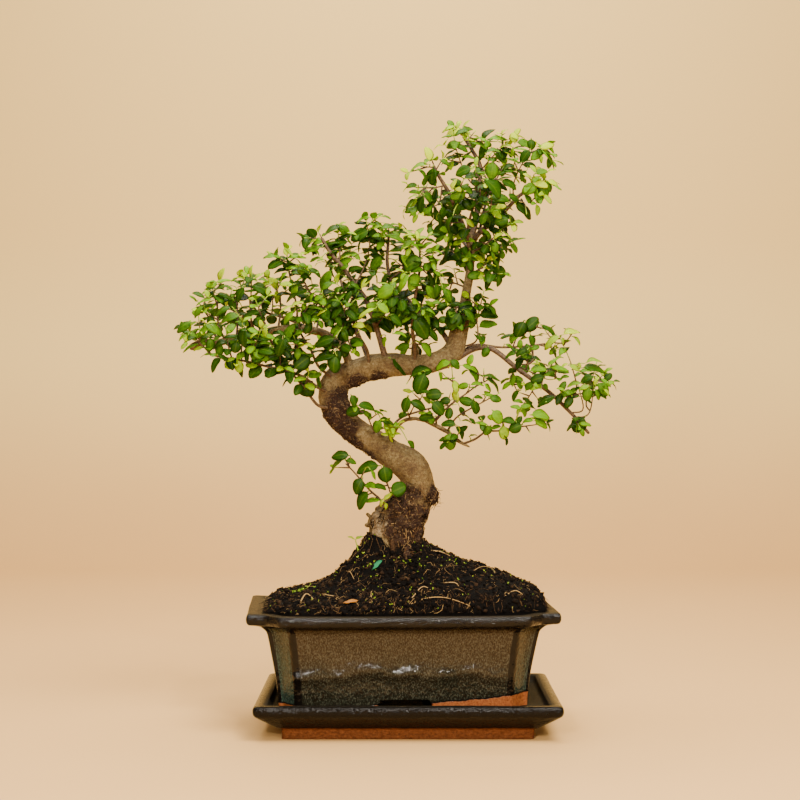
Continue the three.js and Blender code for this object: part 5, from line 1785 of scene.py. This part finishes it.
    def _grow(self, spray: Spray, pad: Pad, leaves: Leaves, twigs: Draft) -> None:
        """Grows one spray's twigs and the leaves along them.

        Args:
            spray: its stem and shoots.
            pad: the clump that it is in.
            leaves: the pad's leaves.
            twigs: the pad's twigs.
        """
        centre = EYE.seen(pad.centre)
        for k, curve in enumerate(spray.curves()):
            stem = k == 0
            thick = spray.radius if stem else self.twig
            steps = max(4, round(curve.length / 2.5))
            young = np.append(np.linspace(0, 1, steps + 1), 1.0) ** 2 * (0.25 if stem else 0.85)
            twigs.tube(curve, lambda share: thick * (1 - 0.5 * share), steps, 7, young=young)
            rise = float(np.clip((curve.at(1.0)[2] - centre[2]) / 60, -1, 1))
            vigour = pad.fresh * 0.8 + 0.2 * rise + self.draw.normal(0, self.spread.vigour)
            self._leaf_out(curve, centre, pad, float(np.clip(vigour, 0, 1)), stem, leaves)

    def _leaf_out(self, curve: Curve, centre: Array, pad: Pad, vigour: float, stem: bool,
                  leaves: Leaves) -> None:
        """Sets pairs of leaves along a shoot, each pair turned a quarter from the last.

        Args:
            curve: the shoot.
            centre: the middle of the clump.
            pad: the clump.
            vigour: how young the shoot is, from 0 to 1.
            stem: whether it is a spray's stem, which bears fewer.
            leaves: the pad's leaves.
        """
        spread = self.spread
        turn = self.draw.uniform(0, math.tau)
        nodes = np.arange(curve.length, self.bare, -pad.gap)[:pad.pairs]
        likely = pad.shoot
        if stem:
            nodes = np.arange(curve.length, self.stem_bare * curve.length, -self.stem_gap * pad.gap)
            likely = pad.stem
        for k, far in enumerate(nodes):
            turn += self.draw.normal(*self.pair_turn)
            if self.draw.random() > likely:
                continue
            share = far / curve.length
            place, axis = curve.at(share), curve.along(share)
            side = unit(np.cross(axis, (0.3, 0.2, 1) if abs(axis[2]) < 0.9 else (1, 0.1, 0)))
            outward = unit(place - centre)
            youth = vigour * (1 - k / self.fading) if k < self.young_pairs else 0.0
            for flip in (0, math.pi):
                lean = self.lean * (self.end_lean if k == 0 else 1) + self.draw.normal(0, spread.lean)
                away = turned(side, axis, turn + flip)
                along = axis * math.cos(lean) + away * math.sin(lean)
                sag = (0, 0, 0.1 * (1 - youth))
                along = unit((along + self.draw.normal(0, spread.along, 3) - sag) * (1, 1, 0.7))
                up = np.array(self.facing) + 0.22 * outward + 0.2 * axis
                up += self.draw.normal(0, spread.up, 3)
                size = pad.size * self.lengths[min(k, 2)] * self.draw.uniform(*self.sizes)
                width = self.wide - self.narrowing * youth + self.draw.normal(0, spread.width)
                tone = self.tone + self.tone_fresh * pad.fresh + self.tone_young * youth
                tone += self.draw.normal(0, spread.tone)
                tone = float(np.clip(tone + self.tone_end * (k == 0), 0.02, 1))
                droop = max(0.0, self.draw.normal(*self.hang))
                leaves.add(Leaf(place, along, up, size, width, tone, droop))


# The leafy stems.
SPRAYS = {
    "left_1": Spray(1.1, """-173,320,-6 -178,327,-10 | -189,333,-14 | -176,342,-4 | -185,321,-16"""),
    "left_2": Spray(1.1, """-160,320,-5 -165,335,2 -170,347,6 | -177,355,10 | -168,362,4"""),
    "left_3": Spray(1.1, """-153,321,-4 -159,334,-12 -160,356,-16 | -165,369,-20 | -154,373,-12 |
        -171,346,-24"""),
    "left_4": Spray(1.1, """-144,323,-3 -143,341,8 -144,354,12 | -144,366,14 | -135,377,20 |
        -151,356,22"""),
    "left_5": Spray(1.1, """-130,326,0 -132,343,-14 -133,357,-22 | -131,379,-28 | -141,375,-30 |
        -123,356,-18"""),
    "left_6": Spray(1.1, """-109,331,2 -107,346,4 -107,358,4 | -111,370,2 | -118,378,10 | -99,366,-4"""),
    "left_7": Spray(1.1, """-94,331,4 -93,346,-8 -96,363,-14 -101,383,-18 | -102,397,-18 | -114,393,-12 |
        -91,394,-24"""),
    "left_8": Spray(1.1, """-120,329,1 -123,321,14 -126,314,26 | -134,312,34 | -119,309,34"""),
    "left_9": Spray(1.1, """-77,329,4 -75,341,14 -77,352,22 | -84,364,28 | -72,363,24"""),
    "left_front": Spray(1.5, """-65,278,-4 -75,282,-12 -88,291,-22 -98,295,-30 -119,300,-42 -135,304,-48
        -152,307,-54 -165,310,-58 -171,316,-60 | -183,328,-66 | -170,335,-66 | -151,318,-60 -153,332,-66 |
        -129,314,-54 -123,332,-62 | -107,310,-48 -104,325,-58 | -145,302,-58 | -105,299,-44 | -140,312,-56
        -139,337,-68 | -125,308,-52 -133,322,-64 | -116,318,-58"""),
    "left_rise": Spray(1.4, """-65,265,-6 -75,267,-12 -87,282,-20 -102,300,-26 -111,315,-30 -118,325,-34 |
        -123,341,-38 | -128,356,-44 | -97,312,-34 -88,318,-42 | -86,285,-24 -83,295,-30 | -118,359,-38 |
        -96,326,-44"""),
    "left_back": Spray(1.5, """-81,331,4 -94,337,22 -111,343,42 -128,346,58 -144,342,70 | -151,349,76
        -161,356,80 | -148,364,78 | -114,356,50 -123,368,58 | -139,331,80 | -123,331,74 | -105,374,52 |
        -156,337,76"""),
    "top_left": Spray(1.4, """-61,289,0 -75,300,-18 -82,315,-28 -91,331,-36 -89,346,-42 | -82,354,-50 |
        -96,353,-50 | -77,337,-46 | -99,318,-38"""),
    "middle": Spray(2.8, """-18,304,0 -21,315,-3 -27,335,-5 -35,356,-5 -44,368,-5 -50,377,-6 -55,384,-8
        -64,394,-10 -72,407,-11 | -75,413,-12 | -87,408,-16 | -57,396,-2 -59,416,4 | -49,410,8 | -37,383,0
        -32,402,2 -35,424,2 | -24,426,6 | -17,348,-20 -12,363,-30 | -49,358,-16 -59,369,-24 | -25,358,8
        -8,361,24 | -80,399,-18 | -67,401,10 | -42,410,-6 | -22,406,8 | -22,362,-32 | -5,347,-28 |
        -67,357,-26 | -49,369,-26 | -20,369,24 | -13,346,26"""),
    "middle_right": Spray(2.4, """38,314,3 27,331,8 10,344,10 0,356,10 -13,371,5 -17,385,5 -16,410,2 |
        -16,418,4 | -7,416,-2 | -4,383,18 -1,413,24 | 15,363,22 18,381,34 | 24,337,-4 17,356,-22 | 4,401,28
        | -10,388,30 | -22,409,-10 | 27,366,34 | 9,384,36 | 27,353,-20 | 14,337,-20"""),
    "middle_top": Spray(1.1, """4,304,0 4,317,8 7,327,16 | -1,331,22 | 17,317,18 | -3,316,16"""),
    "middle_left": Spray(1.6, """-32,299,-2 -35,315,-13 -48,332,-22 -66,343,-32 -77,356,-38 -87,368,-42 |
        -92,381,-46 | -82,379,-44 | -70,349,-40 -72,364,-48 | -52,341,-32 -56,354,-44 | -53,320,-30
        -63,312,-38 | -56,331,-44 | -97,369,-50 | -61,359,-44 | -75,339,-46 | -44,356,-42 | -72,320,-42 |
        -46,314,-34"""),
    "middle_front": Spray(1.7, """6,304,-4 6,315,-12 4,331,-28 6,356,-42 10,381,-50 10,406,-54 | 4,410,-60 |
        18,410,-58 | 17,384,-54 22,397,-58 | -6,356,-48 -14,368,-56 | 14,347,-50 | -2,379,-60 | 26,379,-50 |
        2,400,-62 | 20,387,-62 | -20,356,-58 | -8,342,-52"""),
    "middle_back": Spray(1.9, """-31,299,6 -38,318,22 -47,341,40 -54,363,54 -59,383,64 | -60,394,70 |
        -51,398,70 | -59,352,52 -72,359,62 | -42,373,62 -33,388,70 | -30,341,44 -17,349,56 | -72,388,74 |
        -67,369,62 | -74,344,58 | -23,379,68 | -13,337,52 | -23,359,60 | -47,396,76"""),
    "upper_1": Spray(0.9, """45,316,0 58,322,-8 57,347,-10 | 64,363,-14 | 68,351,-16 | 52,357,-8"""),
    "upper_2": Spray(1.1, """47,353,-4 41,349,-12 38,346,-16 | 41,337,-20 | 33,353,-24 | 51,342,-18"""),
    "upper_3": Spray(1.1, """50,366,2 42,369,12 37,371,16 | 31,369,20 | 39,381,24 | 34,359,20"""),
    "upper_4": Spray(1.1, """52,376,-2 59,381,-12 64,383,-16 | 68,374,-22 | 68,389,-20 | 80,378,-26"""),
    "upper_5": Spray(1.1, """52,386,-2 46,394,-12 42,398,-16 | 32,398,-22 | 51,391,-24 | 43,409,-20"""),
    "upper_6": Spray(1.1, """53,396,2 63,400,12 69,401,16 | 82,400,22 | 90,406,26 | 73,391,24"""),
    "upper_7": Spray(1.1, """53,401,-2 61,405,-14 65,406,-18 | 70,401,-26 | 78,413,-26"""),
    "upper_8": Spray(1.1, """52,381,3 56,389,18 57,394,26 | 64,401,34 | 47,389,34"""),
    "crown_left": Spray(2.6, """52,403,0 46,419,-6 40,434,-12 34,447,-16 25,462,-22 22,468,-24 | 18,479,-26
        | 11,468,-30 | 20,450,-24 2,451,-30 | 1,463,-34 | 25,436,-20 -1,433,-26 | 36,421,-18 24,424,-26 |
        29,474,-18 | 10,442,-34 | 9,428,-32 | 14,443,-18 | 32,410,-26"""),
    "crown_middle": Spray(2.8, """53,406,0 57,421,4 59,436,8 60,452,10 61,468,12 54,482,13 47,493,12 |
        43,501,10 | 57,498,18 | 52,456,6 41,482,2 38,500,0 | 31,486,-6 | 73,478,8 90,493,8 | 79,495,2 |
        67,448,-4 73,465,-16 | 64,487,22 | 47,490,4 | 32,474,8 | 75,489,18 | 93,480,2 | 62,461,-18 |
        81,457,-16"""),
    "crown_right": Spray(2.4, """54,404,0 61,413,-4 71,421,-10 83,432,-18 96,445,-24 112,451,-31 |
        122,453,-34 | 116,462,-28 | 89,453,-14 95,468,-14 106,484,-12 | 117,485,-16 | 122,473,-20 |
        98,437,-30 100,428,-36 | 77,419,-20 88,420,-28 | 114,445,-38 | 105,458,-36 | 89,474,-22 | 107,467,-6
        | 108,437,-38 | 81,412,-28 | 78,430,-30"""),
    "crown_back": Spray(1.6, """52,391,2 56,403,13 61,417,24 64,431,28 68,444,42 74,458,54 | 83,472,64 |
        69,475,64 | 78,435,42 89,440,56 | 82,426,56 | 59,448,46 | 88,460,62 | 86,450,56"""),
    "crown_front": Spray(1.6, """52,388,-2 51,400,-14 51,418,-27 56,436,-38 61,450,-52 | 57,467,-62 |
        69,467,-64 | 48,442,-46 40,450,-56 | 63,429,-40 73,433,-52 | 41,435,-58 | 66,452,-68 | 71,444,-56 |
        47,457,-60"""),
    "crown_rear": Spray(1.5, """52,398,3 42,410,20 32,421,36 22,434,50 | 10,447,60 | 17,454,62 | 32,436,48
        29,448,58 | 19,421,56 | 5,434,62 | 40,443,60"""),
    "right": Spray(2.6, """42,307,0 54,314,0 62,316,-2 70,315,-4 78,310,-6 84,305,-8 91,299,-8 102,291,-10
        113,283,-10 124,274,-8 135,263,-6 141,257,-4 152,244,0 | 104,304,4 105,318,6 101,334,8 | 93,331,14 |
        111,337,2 | 141,278,-12 138,300,-13 128,324,-12 | 140,330,-18 | 116,293,-18 111,301,-22 |
        124,306,-22 | 88,294,-14 85,285,-18 | 105,280,4 95,265,14 | 147,263,-8 143,285,-8 | 152,260,6
        157,289,8 | 165,294,12 | 171,286,8 | 150,268,16 159,304,24 | 144,297,26 | 130,279,-26 | 145,248,-18
        | 94,299,-20 106,294,-36 118,289,-49 128,290,-60 | 118,331,-4 | 120,320,-6 | 129,299,-28 |
        93,277,-20 | 98,285,-26 | 103,264,18 | 109,273,6 | 94,278,18 | 152,278,-18 | 138,275,-20 | 164,278,4
        | 152,289,32 | 116,270,-22 | 132,273,-22 | 103,314,-46 | 125,300,-60 | 97,307,-36 94,314,-44 |
        112,280,-50"""),
    "right_back": Spray(1.3, """44,312,2 57,318,13 78,316,22 99,317,36 115,319,52 | 128,314,60 | 125,327,60
        | 91,324,30 89,332,40 | 106,307,46 112,299,56 | 115,331,58 | 83,326,36 | 99,299,56"""),
    "low_twig": Spray(1.1, """47,235,-29 57,239,-34 66,245,-38 78,246,-42 96,251,-47 | 116,252,-50 |
        112,260,-46 | 80,252,-48 74,259,-52 | 91,255,-54 | 64,251,-44 61,257,-50 | 82,241,-50 | 103,244,-52
        | 69,238,-48"""),
    "low_rise": Spray(1.1, """20,252,-24 31,263,-26 39,270,-28 49,277,-28 62,287,-28 | 74,292,-28 |
        64,298,-24 | 39,275,-24 37,299,-18 | 52,297,-16 | 25,272,-34 | 31,292,-24 | 52,282,-36"""),
    "low_1": Spray(1.0, """33,245,-26 41,257,-34 57,267,-40 | 78,278,-46 | 66,275,-36 | 51,257,-44"""),
    "low_2": Spray(1.0, """2,256,-20 0,262,-28 | -5,261,-34 | 7,270,-34 | -1,273,-38"""),
    "low_3": Spray(1.0, """24,251,-24 24,258,-32 | 16,261,-38 | 32,263,-38 | 24,268,-40"""),
    "low_4": Spray(1.0, """3,300,-4 5,290,-10 | 12,285,-14 | 11,295,-20 | -1,285,-14"""),
    "low_5": Spray(1.0, """41,238,-28 39,240,-36 | 33,236,-40 | 44,246,-42"""),
    "low_back": Spray(1.3, """-18,238,3 -8,255,24 9,262,42 29,267,58 | 41,268,64 | 36,278,64 | 10,270,50
        14,279,58 | 20,258,54 | 4,278,56 | -8,260,36"""),
    "knee_1": Spray(1.0, """-14,233,-6 -16,243,-18 | -17,253,-24 | -24,248,-26 | -8,250,-26"""),
    "knee_2": Spray(1.0, """-28,238,-6 -29,252,-18 | -37,265,-24 | -23,262,-26 | -44,262,-28 |
        -47,272,-30"""),
    "low_left": Spray(1.2, """-7,178,-6 -19,183,-19 -24,189,-23 -31,195,-26 -39,204,-30 -46,212,-33
        -52,218,-35 | -55,227,-36 | -61,215,-34 | -35,215,-36 | -43,201,-38 | -28,189,-34 | -48,221,-40 |
        -38,190,-32"""),
    "low_burl": Spray(1.0, """-5,188,-5 -14,193,-17 -17,202,-21 | -21,210,-24 | -7,198,-24 | -25,199,-26 |
        -13,193,-30"""),
}

PADS = {
    "left": Pad(("left_1", "left_2", "left_3", "left_4", "left_5", "left_6", "left_7", "left_8", "left_9",
                 "left_rise", "left_back", "top_left"), (-120, 325, 0), 0.42, gap=5.8, shoot=0.8),
    "left_front": Pad(("left_front",), (-120, 295, -30), 0.45, pairs=4),
    "middle": Pad(("middle", "middle_right", "middle_top", "middle_left", "middle_front", "middle_back"),
                  (-5, 340, 0), 0.4, pairs=8, gap=5.2),
    "upper": Pad(("upper_1", "upper_2", "upper_3", "upper_4", "upper_5", "upper_6", "upper_7", "upper_8"),
                 (50, 390, 0), 0.42, pairs=8, gap=5.2),
    "crown": Pad(("crown_left", "crown_middle", "crown_right", "crown_back", "crown_front", "crown_rear"),
                 (50, 430, 0), 0.64, gap=6.0, shoot=0.72),
    "right": Pad(("right", "right_back"), (90, 320, 0), 0.5, 3, 5.5, 0.85, 0.0, 0.55),
    "low": Pad(("low_twig", "low_rise", "low_1", "low_2", "low_3", "low_4", "low_5", "low_back"),
               (60, 235, 0), 0.42, 2, 6.0, 0.85, 0.0, 0.25),
    "knee": Pad(("knee_1", "knee_2"), (-20, 240, 0), 0.4, 2, 6.0, 0.8, 0.1, 0.4),
    "foot": Pad(("low_left", "low_burl"), (-20, 200, 0), 0.4, 1, 6.0, 0.7, 0.0, 0.15),
}


@dataclass
class LooseLeaves:
    """The fallen leaf, the dry leaf and the seedling on the soil."""

    soil: Soil
    fallen_at: Pair = (-24, -33)
    fallen_turn: float = math.radians(25)
    dry_at: Pair = (-46, -77)
    dry_turn: float = math.radians(10)
    seedling_at: Pair = (-42, -4)
    seedling_height: float = 11
    seedling_turns: Pair = (math.radians(200), math.radians(20))
    length: float = 13
    draw: np.random.Generator = field(default_factory=lambda: np.random.default_rng(3))

    def build(self) -> None:
        """Builds and dresses the three of them."""
        self._lay("fallen_leaf", Slot.GREEN, self.fallen_at, self.fallen_turn, FALLEN_LEAF_FINISH)
        self._lay("dry_leaf", Slot.DRY, self.dry_at, self.dry_turn, DRY_LEAF_FINISH)
        self._seedling()

    def _lay(self, node: str, slot: Slot, spot: Pair, turn: float, finish: LeafFinish) -> None:
        """Lays one leaf on the soil.

        Args:
            node: the solid that it stands for.
            slot: its material slot.
            spot: x and y of its middle.
            turn: the way that it points, in radians.
            finish: its finish.
        """
        half = way(turn) * self.length / 2
        ends = (np.array(spot) - half, np.array(spot) + half)
        low, high = (np.array([*end, self.soil.height(*end) + 1.6]) for end in ends)
        leaves = Leaves(self.draw)
        leaves.add(Leaf(low, high - low, np.array([0, -0.35, 1]), self.length, 0.5, 0.5, 0.0))
        stand(leaves.build(f"{node}_blade", finish.material()), slot, node)

    def _seedling(self) -> None:
        """Stands the seedling in the soil with its two leaves."""
        x, y = self.seedling_at
        foot = np.array([x, y, self.soil.height(x, y) - 3])
        height = self.seedling_height
        stem = Curve([foot, foot + (0, 0, height * 0.5), foot + (-2, -1, height + 3)])
        twig, leaves = Draft(), Leaves(self.draw)
        twig.tube(stem, lambda share: 0.7 * (1 - 0.4 * share), 12, 8, young=1.0)
        for turn in self.seedling_turns:
            along = np.array([*way(turn), 0.5])
            leaves.add(Leaf(stem.at(0.97), along, np.array([0, -0.4, 1]), 7.5, 0.6, 0.8, 0.1))
        stand(leaves.build("seedling_leaves", LeafFinish().material()), Slot.FRESH, "seedling")
        stand(twig.build("seedling_stem", TwigFinish().material()), Slot.FRESH)


# The studio and the whole


@dataclass
class Studio:
    """The camera, the floor that sweeps up behind, and the lights."""

    lens: float = 89.06
    sensor: float = 36
    shift: float = 0.0025
    sweep_from: float = 1500
    sweep_radius: float = 600
    sweep_top: float = 2600
    sweep_steps: int = 24
    half_width: float = 6000
    near: float = -6000
    # Each lamp's name, spot, aim, the side of its square, its watts and its light
    lamps: tuple[tuple[str, Point, Point, float, float, Colour], ...] = (
        ("key", (500, -900, 1500), (0, 0, 250), 700, 43, (1.0, 0.92, 0.8)),
        ("top", (-200, 100, 1500), (0, 0, 250), 900, 25, (1.0, 0.93, 0.82)),
        ("wash", (0, 1100, 1900), (0, 2100, 500), 900, 33, (1.0, 0.93, 0.82)),
        ("window", (-260, -1500, 560), (0, 0, 120), 90, 17, (1.0, 0.92, 0.82)),
        ("pane", (420, -1300, 760), (0, 0, 120), 80, 11, (1.0, 0.92, 0.82)),
    )
    world: Colour = (1.0, 0.9, 0.76)
    world_strength: float = 0.34

    def build(self) -> None:
        """Sets up the camera, the floor and the lights."""
        self._camera()
        self._floor()
        for lamp in self.lamps:
            self._lamp(*lamp)
        world = bpy.data.worlds.new("room")
        world.use_nodes = True
        back = world.node_tree.nodes["Background"]
        back.inputs["Color"].default_value = (*self.world, 1)
        back.inputs["Strength"].default_value = self.world_strength
        bpy.context.scene.world = world

    def _camera(self) -> None:
        """Puts the camera where the photograph was taken from."""
        data = bpy.data.cameras.new("camera")
        data.lens, data.sensor_width, data.shift_y = self.lens, self.sensor, self.shift
        camera = link("camera", data)
        camera.location = Vector((EYE.x, -EYE.distance, EYE.z)) * MM
        camera.rotation_euler = (math.pi / 2, 0, 0)
        bpy.context.scene.camera = camera

    def _floor(self) -> None:
        """Lays the floor and bends it up behind the tree."""
        turns = np.linspace(0, math.pi / 2, self.sweep_steps)
        bend = [(self.sweep_from + self.sweep_radius * math.sin(t), self.sweep_radius * (1 - math.cos(t)))
                for t in turns]
        run = [(self.near, 0.0), *bend, (self.sweep_from + self.sweep_radius, self.sweep_top)]
        half = self.half_width
        corners = np.array([(x, y, z) for y, z in run for x in (-half, half)], float)
        low = np.arange(len(run) - 1) * 2
        draft = Draft()
        draft.add(corners, [np.stack([low, low + 1, low + 3, low + 2], axis=-1)])
        draft.build("floor", StudioFinish().material())

    def _lamp(self, name: str, spot: Point, aim: Point, size: float, power: float,
              colour: Colour) -> None:
        """Hangs one soft lamp.

        Args:
            name: its name.
            spot: where it hangs.
            aim: the place that it faces.
            size: the side of its square.
            power: in watts.
            colour: its light.
        """
        data = bpy.data.lights.new(name, "AREA")
        data.energy, data.size, data.color = power, size * MM, colour
        lamp = link(name, data)
        lamp.location = Vector(spot) * MM
        lamp.rotation_euler = (Vector(aim) - Vector(spot)).to_track_quat("-Z", "Y").to_euler()


def main() -> None:
    """Dresses the whole part and lights it."""
    logging.basicConfig(level=logging.INFO, format="%(name)s %(message)s")
    pot = Pot()
    soil = Soil(pot)
    Saucer().build()
    pot.build()
    DrainMeshes().build()
    soil.build()
    Trunk().build()
    Foliage(SPRAYS, PADS).build()
    LooseLeaves(soil).build()
    Studio().build()


if __name__ == "__main__":
    main()
